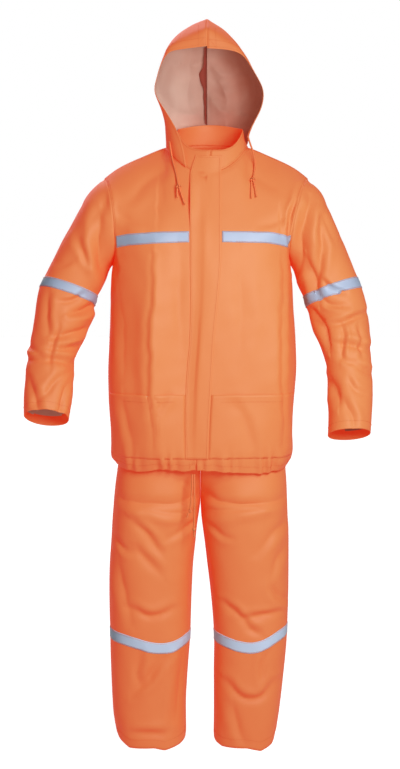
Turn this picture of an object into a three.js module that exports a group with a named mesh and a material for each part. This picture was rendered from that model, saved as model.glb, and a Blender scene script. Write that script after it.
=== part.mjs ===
// Two-piece rain suit, worn and hollow: hooded jacket over trousers, in coated cloth.
// Millimetres, +Z up, front towards -Y, +X towards the wearer's left side.
// The origin is the centre of the neck's base, between the shoulders.
import * as THREE from 'three';

// Driving dimensions
const CLOTH = 1.6;             // thickness of the coated cloth walls
const TAPE = 1.0;              // thickness of the reflective tape
const SEAM_GAP = 0.3;          // gap between sewn pieces where one stands on another
const LAYER_GAP = 0.5;         // gap between a panel and what lies on it
const SEAM_DRAW = 0.15;        // each panel's edge is drawn back this far at a seam
const TAPE_END_INSET = 2;      // the chest tape stops short of the seams
const CORD_RADIUS = 2;
const CORD_SIDES = 8;
const CORD_STEP = 9;           // length of a cord's straight facets

// Colours of the lit cloth, the trim and the tape
const ORANGE = 0xe87a3c;
const ORANGE_TRIM = 0xd9652c;
const SILVER = 0xb9c4d6;

// Jacket below the armhole: one row for each level section, all in mm.
// right and left are the side seams, front and back the half depths, centre the front closure,
// free and sewn the two edges of the storm flap.
const JACKET_SECTIONS = [
  { z: -728, right: -205, left: 184, front: 116, back: 108, centre: -22, free: -45, sewn: 3 },
  { z: -712, right: -211, left: 193, front: 121, back: 114, centre: -22, free: -45, sewn: 3 },
  { z: -695, right: -217, left: 199, front: 126, back: 118, centre: -22, free: -46, sewn: 4 },
  { z: -649, right: -217, left: 196, front: 129, back: 119, centre: -21, free: -46, sewn: 5 },
  { z: -600, right: -222, left: 199, front: 130, back: 118, centre: -20, free: -46, sewn: 7 },
  { z: -551, right: -224, left: 203, front: 130, back: 117, centre: -18, free: -45, sewn: 10 },
  { z: -501, right: -225, left: 208, front: 130, back: 115, centre: -15, free: -43, sewn: 13 },
  { z: -428, right: -221, left: 205, front: 130, back: 112, centre: -10, free: -36, sewn: 17 },
  { z: -380, right: -219, left: 201, front: 131, back: 113, centre: -6, free: -35, sewn: 22 },
  { z: -336, right: -218, left: 198, front: 132, back: 115, centre: -4, free: -35, sewn: 26 },
  { z: -258, right: -214, left: 193, front: 132, back: 121, centre: -2, free: -36, sewn: 33 },
  { z: -188, right: -214, left: 193, front: 125, back: 124, centre: -2, free: -36, sewn: 33 },
];
const JACKET_ROUNDNESS = 2.8;  // superellipse power of the jacket's sections
const JACKET_LEVELS = [-728, -712, -695, -649, -600, -551, -501, -465, -428, -380, -336, -296];

// Armhole: from the armpit up to the shoulder point, at these levels
const ARMHOLE_LEVELS = [-258, -245, -228, -213, -188, -150, -112, -80, -64];
const CHEST_ROW = 4;           // index in ARMHOLE_LEVELS of the tape's upper edge
const ARMHOLE = {
  right: { side: -1, topX: -232, bottomX: -214 },
  left: { side: 1, topX: 232, bottomX: 193 },
};
const ARMHOLE_HALF_DEPTH = 95;
const FRONT_BOW = 16;          // the armhole's front edge is cut inwards
const BACK_BOW = 8;
const SHOULDER_BLEND = [0.3, 0.6, 0.85, 1];

// Neck seam: an ellipse seen from above, low in front
const NECK = { x: 2, y: 8, halfWidth: 92, front: 84, back: 80 };
const NECK_FRONT_Z = -57;
const NECK_SIDE_Z = 8;
const NECK_BACK_Z = 18;
const NECK_RISE_POWER = 2.5;

// Shoulder seam: x out from the neck point to the shoulder point, and its height
const SHOULDER_SEAM = [
  { out: 0.16, z: 0 },
  { out: 0.38, z: -14 },
  { out: 0.60, z: -27 },
  { out: 0.82, z: -43 },
  { out: 1.0, z: -64 },
];

// Largest folds of the jacket: soft ridges and troughs along the body.
// x is where the fold runs, from and to its ends, width its reach, depth how far it stands out.
const FRONT_FOLDS = [
  { x: -116, from: -690, to: -230, width: 30, depth: 9 },
  { x: -160, from: -660, to: -300, width: 26, depth: -6 },
  { x: 172, from: -640, to: -220, width: 24, depth: 6 },
  { x: 128, from: -720, to: -560, width: 26, depth: 5 },
  { x: -150, from: -250, to: -90, width: 34, depth: 4 },
];
const BACK_FOLDS = [
  { x: -120, from: -690, to: -250, width: 36, depth: 7 },
  { x: -40, from: -720, to: -420, width: 34, depth: -6 },
  { x: 66, from: -700, to: -300, width: 34, depth: 6 },
  { x: 140, from: -660, to: -200, width: 34, depth: -6 },
];

// Sleeves: one row for each ring below the armhole. The outer and inner points are on the
// ring's long line, y is its centre and depth its half depth from back to front.
const SLEEVE_SECTIONS = {
  right: [
    { outerX: -250, outerZ: -84, innerX: -218, innerZ: -270, y: -1, depth: 94 },
    { outerX: -276, outerZ: -115, innerX: -224, innerZ: -283, y: -3, depth: 91 },
    { outerX: -318, outerZ: -180, innerX: -232, innerZ: -304, y: -6, depth: 84 },
    { outerX: -350, outerZ: -243, innerX: -239, innerZ: -320, y: -10, depth: 77 },
    { outerX: -373, outerZ: -290, innerX: -246, innerZ: -333, y: -14, depth: 73 },
    { outerX: -386, outerZ: -312, innerX: -250, innerZ: -356, y: -18, depth: 72 },
    { outerX: -391, outerZ: -345, innerX: -254, innerZ: -385, y: -25, depth: 70 },
    { outerX: -395, outerZ: -385, innerX: -265, innerZ: -415, y: -33, depth: 67 },
    { outerX: -400, outerZ: -424, innerX: -282, innerZ: -444, y: -43, depth: 64 },
    { outerX: -404, outerZ: -455, innerX: -294, innerZ: -470, y: -54, depth: 62 },
    { outerX: -409, outerZ: -500, innerX: -294, innerZ: -510, y: -70, depth: 59 },
    { outerX: -411, outerZ: -550, innerX: -297, innerZ: -556, y: -88, depth: 56 },
    { outerX: -411, outerZ: -578, innerX: -301, innerZ: -584, y: -99, depth: 55 },
    { outerX: -409, outerZ: -600, innerX: -304, innerZ: -606, y: -108, depth: 54 },
  ],
  left: [
    { outerX: 248, outerZ: -84, innerX: 196, innerZ: -270, y: -1, depth: 94 },
    { outerX: 271, outerZ: -115, innerX: 201, innerZ: -283, y: -3, depth: 91 },
    { outerX: 303, outerZ: -180, innerX: 207, innerZ: -304, y: -6, depth: 84 },
    { outerX: 330, outerZ: -243, innerX: 214, innerZ: -321, y: -10, depth: 77 },
    { outerX: 348, outerZ: -290, innerX: 221, innerZ: -334, y: -14, depth: 73 },
    { outerX: 359, outerZ: -315, innerX: 226, innerZ: -359, y: -18, depth: 72 },
    { outerX: 368, outerZ: -348, innerX: 235, innerZ: -388, y: -25, depth: 70 },
    { outerX: 374, outerZ: -390, innerX: 243, innerZ: -416, y: -33, depth: 67 },
    { outerX: 377, outerZ: -430, innerX: 256, innerZ: -446, y: -43, depth: 64 },
    { outerX: 374, outerZ: -470, innerX: 268, innerZ: -480, y: -54, depth: 62 },
    { outerX: 377, outerZ: -520, innerX: 270, innerZ: -526, y: -70, depth: 59 },
    { outerX: 376, outerZ: -575, innerX: 272, innerZ: -579, y: -90, depth: 56 },
    { outerX: 372, outerZ: -614, innerX: 270, innerZ: -618, y: -103, depth: 55 },
    { outerX: 369, outerZ: -638, innerX: 268, innerZ: -642, y: -112, depth: 54 },
  ],
};
const SLEEVE_TAPE_ROW = 5;     // the tape's upper edge is at this ring, counted from the armhole
const CUFF_RISE = { right: 25, left: 20 };   // degrees that the cuff's front edge tilts up
// Folds of the sleeves: ring is where along the sleeve, turn the angle round it in degrees
// from the underarm over the front, spread and reach its size, depth how far it stands out.
const SLEEVE_FOLDS = {
  right: [
    { ring: 3.4, turn: 45, reach: 1.3, spread: 36, depth: 8 },
    { ring: 6.6, turn: 60, reach: 0.9, spread: 55, depth: -9 },
    { ring: 7.8, turn: 70, reach: 0.8, spread: 60, depth: 6 },
    { ring: 9.0, turn: 110, reach: 0.7, spread: 60, depth: -6 },
    { ring: 3.2, turn: 290, reach: 1.5, spread: 50, depth: -7 },
    { ring: 8.6, turn: 250, reach: 0.9, spread: 60, depth: 6 },
  ],
  left: [
    { ring: 3.2, turn: 48, reach: 1.2, spread: 34, depth: -8 },
    { ring: 4.2, turn: 110, reach: 1.6, spread: 40, depth: 5 },
    { ring: 6.8, turn: 55, reach: 0.9, spread: 50, depth: -9 },
    { ring: 8.2, turn: 120, reach: 0.7, spread: 60, depth: -6 },
    { ring: 9.2, turn: 60, reach: 0.8, spread: 50, depth: 6 },
    { ring: 3.6, turn: 280, reach: 1.5, spread: 50, depth: -7 },
    { ring: 8.4, turn: 240, reach: 0.9, spread: 60, depth: 6 },
  ],
};

// Collar: a stand collar leaning in from the neck seam to its top edge
const COLLAR_TOP = { x: 10, y: 8, halfWidth: 76, front: 68, back: 72 };
const COLLAR_TOP_FRONT_Z = -4;
const COLLAR_TOP_SIDE_Z = 50;
const COLLAR_TOP_BACK_Z = 66;
const COLLAR_FRONT_BEND = 5;   // how late the front's top edge turns up to the sides
const COLLAR_BACK_BEND = 2;
const HOOD_BASE_CLEAR = 1.2;   // the hood's foot stands this far outside the collar
const COLLAR_ROWS = [0, 0.33, 0.67, 1];

// Hood: one row for each section from the neck seam up to the crown. edgeZ is the height of
// the face opening's edge and backZ that of the centre seam. The section is an ellipse of
// halfWidth, centred at y, front and back its half depths, and open is the angle in degrees
// from straight ahead at which the face opening cuts it.
const HOOD_SECTIONS = {
  right: [
    { edgeZ: -8, backZ: 42, halfWidth: 95, y: 8, front: 84, back: 84, open: 31 },
    { edgeZ: 20, backZ: 64, halfWidth: 95, y: 6, front: 80, back: 92, open: 37 },
    { edgeZ: 50, backZ: 90, halfWidth: 97, y: 0, front: 72, back: 106, open: 47 },
    { edgeZ: 85, backZ: 117, halfWidth: 104, y: -15, front: 56, back: 122, open: 64 },
    { edgeZ: 112, backZ: 146, halfWidth: 115, y: -35, front: 42, back: 142, open: 80 },
    { edgeZ: 134, backZ: 173, halfWidth: 121, y: -45, front: 30, back: 152, open: 88 },
    { edgeZ: 158, backZ: 201, halfWidth: 113, y: -52, front: 25, back: 152, open: 88 },
    { edgeZ: 182, backZ: 228, halfWidth: 107, y: -58, front: 20, back: 148, open: 86 },
    { edgeZ: 203, backZ: 256, halfWidth: 96, y: -62, front: 15, back: 132, open: 80 },
    { edgeZ: 214, backZ: 280, halfWidth: 90, y: -66, front: 15, back: 112, open: 70 },
    { edgeZ: 218, backZ: 295, halfWidth: 72, y: -70, front: 13, back: 90, open: 55 },
    { edgeZ: 219, backZ: 298, halfWidth: 0, y: -76, front: 8, back: 70, open: 0 },
  ],
  left: [
    { edgeZ: 36, backZ: 42, halfWidth: 97, y: -4, front: 66, back: 96, open: 76 },
    { edgeZ: 48, backZ: 64, halfWidth: 103, y: -10, front: 60, back: 108, open: 76 },
    { edgeZ: 66, backZ: 90, halfWidth: 112, y: -18, front: 52, back: 124, open: 76 },
    { edgeZ: 88, backZ: 117, halfWidth: 124, y: -28, front: 44, back: 135, open: 78 },
    { edgeZ: 111, backZ: 146, halfWidth: 129, y: -38, front: 36, back: 145, open: 80 },
    { edgeZ: 134, backZ: 173, halfWidth: 128, y: -45, front: 30, back: 152, open: 84 },
    { edgeZ: 158, backZ: 201, halfWidth: 114, y: -52, front: 25, back: 152, open: 88 },
    { edgeZ: 182, backZ: 228, halfWidth: 99, y: -58, front: 20, back: 148, open: 86 },
    { edgeZ: 203, backZ: 256, halfWidth: 86, y: -62, front: 15, back: 132, open: 80 },
    { edgeZ: 213, backZ: 280, halfWidth: 73, y: -66, front: 15, back: 112, open: 70 },
    { edgeZ: 218, backZ: 295, halfWidth: 50, y: -70, front: 13, back: 90, open: 55 },
    { edgeZ: 219, backZ: 298, halfWidth: 0, y: -76, front: 8, back: 70, open: 0 },
  ],
};
const HOOD_ROUNDNESS = 2.2;
const HOOD_COLUMNS = 10;
const HOOD_LIFT_STEP_DEG = 15;
const HOOD_BASE = {
  right: { from: 30, lifts: [] },
  left: { from: 75, lifts: [24, 12, 2] },      // its front corner is lifted off the neck seam
};

// Trousers: one row for each level section. outer is the side seam, inner the inside leg seam,
// split goes from 0, one tube round the hips, to 1, two legs.
const RISE_X = -13;
const LEG_SECTIONS = [
  { z: -402, right: -175, left: 158, rightIn: -13, leftIn: -13, front: 98, back: 96, split: 0 },
  { z: -500, right: -190, left: 172, rightIn: -13, leftIn: -13, front: 104, back: 102, split: 0 },
  { z: -600, right: -197, left: 178, rightIn: -13, leftIn: -13, front: 108, back: 104, split: 0 },
  { z: -680, right: -201, left: 180, rightIn: -13, leftIn: -13, front: 109, back: 106, split: 0.12 },
  { z: -728, right: -202.6, left: 181.6, rightIn: -13, leftIn: -13, front: 107, back: 101, split: 0.35 },
  { z: -745, right: -206, left: 184, rightIn: -13, leftIn: -13, front: 107, back: 102, split: 0.46 },
  { z: -770, right: -209, left: 185, rightIn: -13, leftIn: -13, front: 107, back: 105, split: 0.7 },
  { z: -790, right: -211, left: 186, rightIn: -13, leftIn: -13, front: 106, back: 107, split: 0.88 },
  { z: -805, right: -212, left: 186, rightIn: -13, leftIn: -13, front: 105, back: 108, split: 1 },
  { z: -828, right: -214, left: 187, rightIn: -16, leftIn: -12, front: 102, back: 107, split: 1 },
  { z: -855, right: -216, left: 189, rightIn: -21, leftIn: -9, front: 99, back: 104, split: 1 },
  { z: -897, right: -218, left: 190, rightIn: -24, leftIn: -3, front: 96, back: 100, split: 1 },
  { z: -943, right: -222, left: 190, rightIn: -30, leftIn: 2, front: 92, back: 95, split: 1 },
  { z: -989, right: -223, left: 190, rightIn: -32, leftIn: 8, front: 89, back: 92, split: 1 },
  { z: -1035, right: -223, left: 189, rightIn: -34, leftIn: 13, front: 86, back: 89, split: 1 },
  { z: -1070, right: -222, left: 188, rightIn: -35, leftIn: 16, front: 84, back: 87, split: 1 },
  { z: -1103, right: -221, left: 187, rightIn: -36, leftIn: 18, front: 83, back: 86, split: 1 },
  { z: -1128, right: -221, left: 186, rightIn: -37, leftIn: 19, front: 82, back: 85, split: 1 },
  { z: -1173, right: -220, left: 182, rightIn: -41, leftIn: 18, front: 81, back: 83, split: 1 },
  { z: -1219, right: -218, left: 177, rightIn: -44, leftIn: 18, front: 79, back: 81, split: 1 },
  { z: -1265, right: -216, left: 172, rightIn: -47, leftIn: 18, front: 78, back: 79, split: 1 },
  { z: -1311, right: -213, left: 166, rightIn: -46, leftIn: 18, front: 77, back: 78, split: 1 },
  { z: -1353, right: -206, left: 160, rightIn: -46, leftIn: 17, front: 76, back: 77, split: 1 },
];
const LEG_ROUNDNESS = 2.4;
const LEG_COLUMNS = 8;
const LEG_TAPE_Z = -1103;      // the tape's upper edge
// Folds of the legs: z is the height of the fold, turn its angle in degrees from the side
// seam (0) over the front or back to the inside seam (180), reach and spread its size.
const LEG_FOLDS = {
  front_right: [
    { z: -860, turn: 60, reach: 34, spread: 45, depth: 7 },
    { z: -905, turn: 80, reach: 28, spread: 40, depth: -6 },
    { z: -985, turn: 30, reach: 50, spread: 26, depth: 6 },
    { z: -1050, turn: 95, reach: 26, spread: 60, depth: 5 },
    { z: -1180, turn: 80, reach: 30, spread: 50, depth: -5 },
    { z: -1310, turn: 70, reach: 28, spread: 60, depth: 4 },
  ],
  front_left: [
    { z: -870, turn: 110, reach: 34, spread: 45, depth: 6 },
    { z: -1000, turn: 40, reach: 34, spread: 36, depth: 6 },
    { z: -1062, turn: 80, reach: 24, spread: 60, depth: -6 },
    { z: -1210, turn: 90, reach: 34, spread: 60, depth: 5 },
    { z: -1240, turn: 100, reach: 22, spread: 50, depth: -5 },
  ],
  back_right: [
    { z: -840, turn: 90, reach: 26, spread: 60, depth: -6 },
    { z: -1040, turn: 90, reach: 26, spread: 55, depth: -7 },
    { z: -1190, turn: 70, reach: 30, spread: 50, depth: 5 },
  ],
  back_left: [
    { z: -845, turn: 95, reach: 26, spread: 60, depth: -6 },
    { z: -1050, turn: 85, reach: 26, spread: 55, depth: -7 },
    { z: -1200, turn: 110, reach: 30, spread: 50, depth: 5 },
  ],
};

// Waistband: elastic casing on the trousers' top edge
const WAISTBAND_HEIGHT = 36;
const WAISTBAND_THICKNESS = 3;

// Free ends of the drawcords. Each route is laid by hand from where the cord leaves the cloth:
// the hood's edge or eyelet, and the casing of the jacket's hem.
const CORD_ROUTES = {
  hood_cord_left: [
    [94.6, -17.9, 30.1], [96.3, -22.6, 24], [99.6, -26.6, 13], [103.8, -29, 1], [107.8, -30.8, -12],
    [110.3, -32.2, -24], [110.6, -34.6, -35], [109.4, -40.4, -47], [107.4, -48.6, -58],
    [105.2, -57.6, -67.4],
  ],
  hood_tail_left_a: [[101.8, -64.9, -75.9], [101, -70.6, -88], [100.3, -78.4, -101], [100, -86.8, -114]],
  hood_tail_left_b: [[106.7, -64.9, -75.9], [108.6, -70.2, -87], [110.6, -76.4, -99], [111.6, -83.4, -111]],
  hood_cord_right: [
    [-81.8, -39, 14.4], [-82.2, -43, 13.4], [-81.8, -46.6, 8.6], [-80.6, -47.8, 1], [-79, -46.6, -9],
    [-77, -46.4, -20], [-74.6, -51, -31], [-72, -57.4, -41], [-69, -65.4, -53], [-66.6, -72.4, -63],
    [-64.4, -79.8, -74], [-62.7, -87.4, -84.4],
  ],
  hood_tail_right_a: [[-59.5, -93.6, -93.5], [-56, -96.6, -104], [-52, -101, -117], [-48, -107, -129]],
  hood_tail_right_b: [[-64.5, -93.6, -93.5], [-65, -96.4, -103], [-65, -99.4, -113]],
  hem_cord_short: [
    [-31.2, -116, -728.5], [-31.2, -116.2, -745], [-31.8, -116.6, -765], [-33.4, -117, -785],
    [-35, -117.2, -804.6],
  ],
  hem_tail_short: [[-39, -117.6, -814.2], [-41.4, -118, -820], [-42.2, -118, -826]],
  hem_cord_long: [
    [-26.4, -116, -728.5], [-26.3, -116.2, -750], [-26, -116.8, -775], [-25.8, -117, -800],
    [-26.4, -117.2, -825], [-27, -117.2, -846.6],
  ],
  hem_tail_long: [[-27, -117.2, -856.7], [-26.8, -117.2, -863], [-26.4, -117.2, -869]],
};
const KNOTS = {
  hood_knot_left: { at: [104.3, -61.4, -71.4], width: 10, height: 10.4 },
  hood_knot_right: { at: [-62, -90.9, -89], width: 10, height: 10.4 },
  hem_knot: { at: [-35.4, -117.4, -809.9], width: 9.6, height: 9.4 },
  hem_bead: { at: [-27, -117.2, -851.6], width: 8, height: 9 },
};

// Small helpers
// Columns of points across the jacket's panels, and how many of them end on the neck seam
const FRONT_COLUMNS = 9;
const NECK_COLUMNS = 4;
const BACK_COLUMNS = 18;
const BACK_NECK_COLUMNS = 8;
const NECK_TURN_LEVEL = -188;  // the section whose flap width sets the neck's first columns

// Storm flap: its first row on the fronts, its top on the collar as shares of the collar's
// height, its distance from the fronts and the collar, and where its free edge gapes
const FLAP_FIRST_ROW = 2;
const FLAP_TOP_HEIGHTS = [0.4, 0.75];
const FLAP_CLEAR = 0.7;
const FLAP_COLLAR_SPREAD = 1.6;
const FLAP_LIFT = { z: -130, reach: 60, depth: 7 };

// Pockets: the first row and the height of the open edge
const POCKET_FIRST_ROW = 2;
const POCKET_TOP_Z = -551;

const point = (x, y, z) => new THREE.Vector3(x, y, z);
const lerp = (a, b, t) => a + (b - a) * t;
const radians = (degrees) => degrees * Math.PI / 180;
const power = (value, exponent) => Math.sign(value) * Math.pow(Math.abs(value), exponent);
const clamp01 = (t) => Math.min(1, Math.max(0, t));
const bump = (distance) => (Math.abs(distance) < 1 ? 0.5 + 0.5 * Math.cos(Math.PI * distance) : 0);

// One row of a table of sections at height z, between its two nearest rows
function sectionAt(table, z) {
  let low = 0;
  const step = Math.sign(table[1].z - table[0].z);
  while (low < table.length - 2 && (z - table[low + 1].z) * step > 0) {
    low += 1;
  }
  const t = clamp01((z - table[low].z) / (table[low + 1].z - table[low].z));
  const row = {};
  for (const name of Object.keys(table[0])) {
    row[name] = lerp(table[low][name], table[low + 1][name], t);
  }
  return row;
}

// Normals of a grid of points, by central differences. flip sets which way is outwards.
function gridNormals(grid, wraps, flip) {
  const rows = grid.length;
  const columns = grid[0].length;
  return grid.map((row, i) => row.map((here, j) => {
    const up = grid[Math.min(i + 1, rows - 1)][j];
    const down = grid[Math.max(i - 1, 0)][j];
    const next = wraps ? row[(j + 1) % columns] : row[Math.min(j + 1, columns - 1)];
    const last = wraps ? row[(j + columns - 1) % columns] : row[Math.max(j - 1, 0)];
    const along = next.clone().sub(last);
    const across = up.clone().sub(down);
    return across.cross(along).normalize().multiplyScalar(flip);
  }));
}

// A cloth surface: its grid of outer points, the directions into the cloth, and whether its
// columns close into a tube. seams holds a direction for each edge that is sewn to another.
function clothSurface(grid, { wraps = false, flip = 1, seams = {} }) {
  const inward = gridNormals(grid, wraps, -flip);
  const normals = gridNormals(grid, wraps, flip);
  const lastRow = grid.length - 1;
  const lastColumn = grid[0].length - 1;
  grid.forEach((row, i) => row.forEach((here, j) => {
    const edges = [
      j === 0 && seams.first,
      j === lastColumn && seams.last,
      i === 0 && seams.bottom,
      i === lastRow && seams.top,
    ];
    for (const direction of edges) {
      if (direction) {
        inward[i][j] = direction(here, inward[i][j], i, j).normalize();
      }
    }
  }));
  return { grid, inward, normals, wraps, seams };
}

// Moves the edge points of a sewn edge back from the seam, towards the panel's inside
function drawBack(points, seams, wraps, draw) {
  const lastRow = points.length - 1;
  const lastColumn = points[0].length - 1;
  const towards = (from, to) => to.clone().sub(from).normalize().multiplyScalar(draw);
  return points.map((row, i) => row.map((here, j) => {
    const moved = here.clone();
    if (seams.bottom && i === 0) moved.add(towards(here, points[1][j]));
    if (seams.top && i === lastRow) moved.add(towards(here, points[lastRow - 1][j]));
    if (!wraps && seams.first && j === 0) moved.add(towards(here, row[1]));
    if (!wraps && seams.last && j === lastColumn) moved.add(towards(here, row[lastColumn - 1]));
    return moved;
  }));
}

// A closed wall between two matching grids of points
function wallGeometry(outer, inner, wraps) {
  const rows = outer.length;
  const columns = outer[0].length;
  const positions = [];
  for (const grid of [outer, inner]) {
    for (const row of grid) {
      for (const here of row) {
        positions.push(here.x, here.y, here.z);
      }
    }
  }
  const out = (i, j) => i * columns + (j % columns);
  const into = (i, j) => rows * columns + out(i, j);
  const index = [];
  const quad = (a, b, c, d) => index.push(a, b, c, a, c, d);
  const spans = wraps ? columns : columns - 1;
  for (let i = 0; i < rows - 1; i += 1) {
    for (let j = 0; j < spans; j += 1) {
      quad(out(i, j), out(i, j + 1), out(i + 1, j + 1), out(i + 1, j));
      quad(into(i, j), into(i + 1, j), into(i + 1, j + 1), into(i, j + 1));
    }
  }
  for (let j = 0; j < spans; j += 1) {
    quad(out(0, j), into(0, j), into(0, j + 1), out(0, j + 1));
    quad(out(rows - 1, j), out(rows - 1, j + 1), into(rows - 1, j + 1), into(rows - 1, j));
  }
  if (!wraps) {
    const last = columns - 1;
    for (let i = 0; i < rows - 1; i += 1) {
      quad(out(i, 0), out(i + 1, 0), into(i + 1, 0), into(i, 0));
      quad(out(i, last), into(i, last), into(i + 1, last), out(i + 1, last));
    }
  }
  return closedGeometry(positions, index);
}

// A geometry whose faces point outwards, turned round if its volume comes out negative
function closedGeometry(positions, index) {
  const corner = (k) => point(positions[3 * k], positions[3 * k + 1], positions[3 * k + 2]);
  let volume = 0;
  for (let k = 0; k < index.length; k += 3) {
    volume += corner(index[k]).dot(corner(index[k + 1]).cross(corner(index[k + 2])));
  }
  if (volume < 0) {
    index.reverse();
  }
  const geometry = new THREE.BufferGeometry();
  geometry.setAttribute('position', new THREE.Float32BufferAttribute(positions, 3));
  geometry.setIndex(index);
  geometry.computeVertexNormals();
  return geometry;
}

// The solid of a cloth surface: its wall goes inwards from the outer points
function clothGeometry({ grid, inward, wraps, seams }, thickness = CLOTH) {
  const inner = moveGrid(grid, inward, thickness);
  const outer = drawBack(grid, seams, wraps, SEAM_DRAW);
  return wallGeometry(outer, drawBack(inner, seams, wraps, SEAM_DRAW), wraps);
}

function moveGrid(grid, directions, distance) {
  return grid.map((row, i) => row.map((here, j) => (
    here.clone().addScaledVector(directions[i][j], distance)
  )));
}

// The solid of a layer on a surface, made from the surface's own points, moved out
function layerGeometry(surface, { rows, columns, thickness, clear = LAYER_GAP, inset = [0, 0] }) {
  const pick = (source) => source.slice(rows[0], rows[1] + 1).map((row) => (
    columns ? row.slice(columns[0], columns[1] + 1) : row
  ));
  const grid = pick(surface.grid);
  const normals = pick(surface.normals);
  const wraps = !columns && surface.wraps;
  const under = shortenRows(moveGrid(grid, normals, clear), inset);
  const over = shortenRows(moveGrid(grid, normals, clear + thickness), inset);
  return wallGeometry(over, under, wraps);
}

// Moves the two ends of each row inwards along the row
function shortenRows(grid, [first, last]) {
  return grid.map((row) => {
    const end = row.length - 1;
    const copy = row.map((here) => here.clone());
    copy[0].lerp(row[1], first / row[0].distanceTo(row[1]));
    copy[end].lerp(row[end - 1], last / row[end].distanceTo(row[end - 1]));
    return copy;
  });
}

// Armhole ring: face is -1 for its front half and 1 for its back half
function armholePoint(hole, z, face) {
  const top = ARMHOLE_LEVELS[ARMHOLE_LEVELS.length - 1];
  const bottom = ARMHOLE_LEVELS[0];
  const half = (top - bottom) / 2;
  const cosine = Math.min(1, Math.max(-1, (z - (top + bottom) / 2) / half));
  const sine = Math.sqrt(1 - cosine * cosine);
  const bow = face < 0 ? FRONT_BOW : BACK_BOW;
  const x = lerp(hole.bottomX, hole.topX, (cosine + 1) / 2) - hole.side * bow * sine;
  return point(x, face * ARMHOLE_HALF_DEPTH * sine, z);
}

// The seam direction at the armhole: towards the ring's centre, turned to the body at the armpit
function armholeInward(hole) {
  const top = ARMHOLE_LEVELS[ARMHOLE_LEVELS.length - 1];
  const bottom = ARMHOLE_LEVELS[0];
  const centre = point((hole.topX + hole.bottomX) / 2, 0, (top + bottom) / 2);
  return (here) => {
    const direction = centre.clone().sub(here).normalize();
    direction.x -= hole.side * 0.35 * Math.max(0, direction.z);
    return direction;
  };
}

// Neck seam at an angle from straight ahead; side is -1 right, 1 left
function neckPoint(degrees, side, spread = 0) {
  const angle = radians(degrees);
  const sine = Math.sin(angle);
  const cosine = Math.cos(angle);
  const depth = (cosine > 0 ? NECK.front : NECK.back) + spread;
  const z = cosine > 0
    ? lerp(NECK_FRONT_Z, NECK_SIDE_Z, Math.pow(sine, NECK_RISE_POWER))
    : lerp(NECK_BACK_Z, NECK_SIDE_Z, Math.pow(sine, 2));
  return point(NECK.x + side * (NECK.halfWidth + spread) * sine, NECK.y - depth * cosine, z);
}

function neckInward(here) {
  return point(NECK.x - here.x, NECK.y - here.y, 0).normalize().add(point(0, 0, -0.5));
}

const downward = () => point(0, 0, -1);

// Straight in from a side seam
const sideInward = (side) => () => point(-side, 0, 0);

// Within the plane of a centre seam
const centreInward = (here, normal) => point(0, normal.y, normal.z);

// How far the folds of a table push a point of the jacket out
function foldDepth(folds, here) {
  let depth = 0;
  for (const fold of folds) {
    const middle = (fold.from + fold.to) / 2;
    const half = Math.abs(fold.to - fold.from) / 2;
    const across = bump((here.x - fold.x) / fold.width);
    depth += fold.depth * across * bump((here.z - middle) / half);
  }
  return depth;
}

// One level section of a jacket front, from the closure to the side seam or armhole
function frontSection(side, z, end) {
  const row = sectionAt(JACKET_SECTIONS, z);
  const middle = (row.right + row.left) / 2;
  const n = JACKET_ROUNDNESS;
  const endShare = Math.pow(1 - Math.pow(Math.abs(end.y) / row.front, n), 1 / n);
  const half = Math.abs(end.x - middle) / endShare;
  const flapX = side < 0 ? row.free : row.sewn;
  const angleAt = (x) => Math.asin(Math.pow(Math.min(1, Math.abs(x - middle) / half), n / 2));
  const depthAt = (x) => row.front * Math.pow(1 - Math.pow(Math.abs(x - middle) / half, n), 1 / n);
  const points = [point(row.centre, -depthAt(row.centre), z), point(flapX, -depthAt(flapX), z)];
  const firstAngle = Math.abs(flapX - middle) < half && side * (flapX - middle) > 0
    ? angleAt(flapX)
    : -angleAt(flapX);
  for (let j = 2; j < FRONT_COLUMNS; j += 1) {
    const angle = lerp(firstAngle, angleAt(end.x), (j - 1) / (FRONT_COLUMNS - 1));
    const x = middle + side * half * power(Math.sin(angle), 2 / n);
    points.push(point(x, -depthAt(x), z));
  }
  points.push(end.clone());
  return points;
}


// The top edge of a front: along the neck seam, then along the shoulder seam
function frontTopEdge(side, hole) {
  const neck = frontNeckTurns(side).map((turn) => neckPoint(turn, side));
  return [neckPoint(0, side), ...neck, ...shoulderSeam(side, hole)];
}

// Angles along the neck seam of a front's columns, from the storm flap's edge to the neck point
function frontNeckTurns(side) {
  const row = sectionAt(JACKET_SECTIONS, NECK_TURN_LEVEL);
  const flapX = side < 0 ? row.free : row.sewn;
  const flapTurn = Math.asin(Math.abs(flapX - NECK.x) / NECK.halfWidth) * 180 / Math.PI;
  const turns = [];
  for (let j = 0; j < NECK_COLUMNS; j += 1) {
    turns.push(lerp(flapTurn, 90, j / (NECK_COLUMNS - 1)));
  }
  return turns;
}

// The shoulder seam's points after the neck point
function shoulderSeam(side, hole) {
  const neck = neckPoint(90, side);
  return SHOULDER_SEAM.map(({ out, z }) => (
    point(lerp(neck.x, hole.topX, out), lerp(neck.y, 0, out), z)
  ));
}

// Rows from the chest up to the top edge, blended, with the armhole kept at their ends
function shoulderRows(base, top, ends, swell) {
  return SHOULDER_BLEND.map((blend, k) => base.map((here, j) => {
    const share = j / (base.length - 1);
    const moved = here.clone().lerp(top[j], blend);
    for (const { at, target } of ends(k)) {
      const weight = Math.pow(at === 0 ? 1 - share : share, 3);
      const corner = at === 0 ? 0 : base.length - 1;
      const straight = base[corner].clone().lerp(top[corner], blend);
      moved.addScaledVector(target.clone().sub(straight), weight);
    }
    moved.y += swell * Math.sin(Math.PI * blend) * Math.sin(Math.PI * share);
    return moved;
  }));
}

const shoulderLevels = ARMHOLE_LEVELS.slice(CHEST_ROW + 1);

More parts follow.
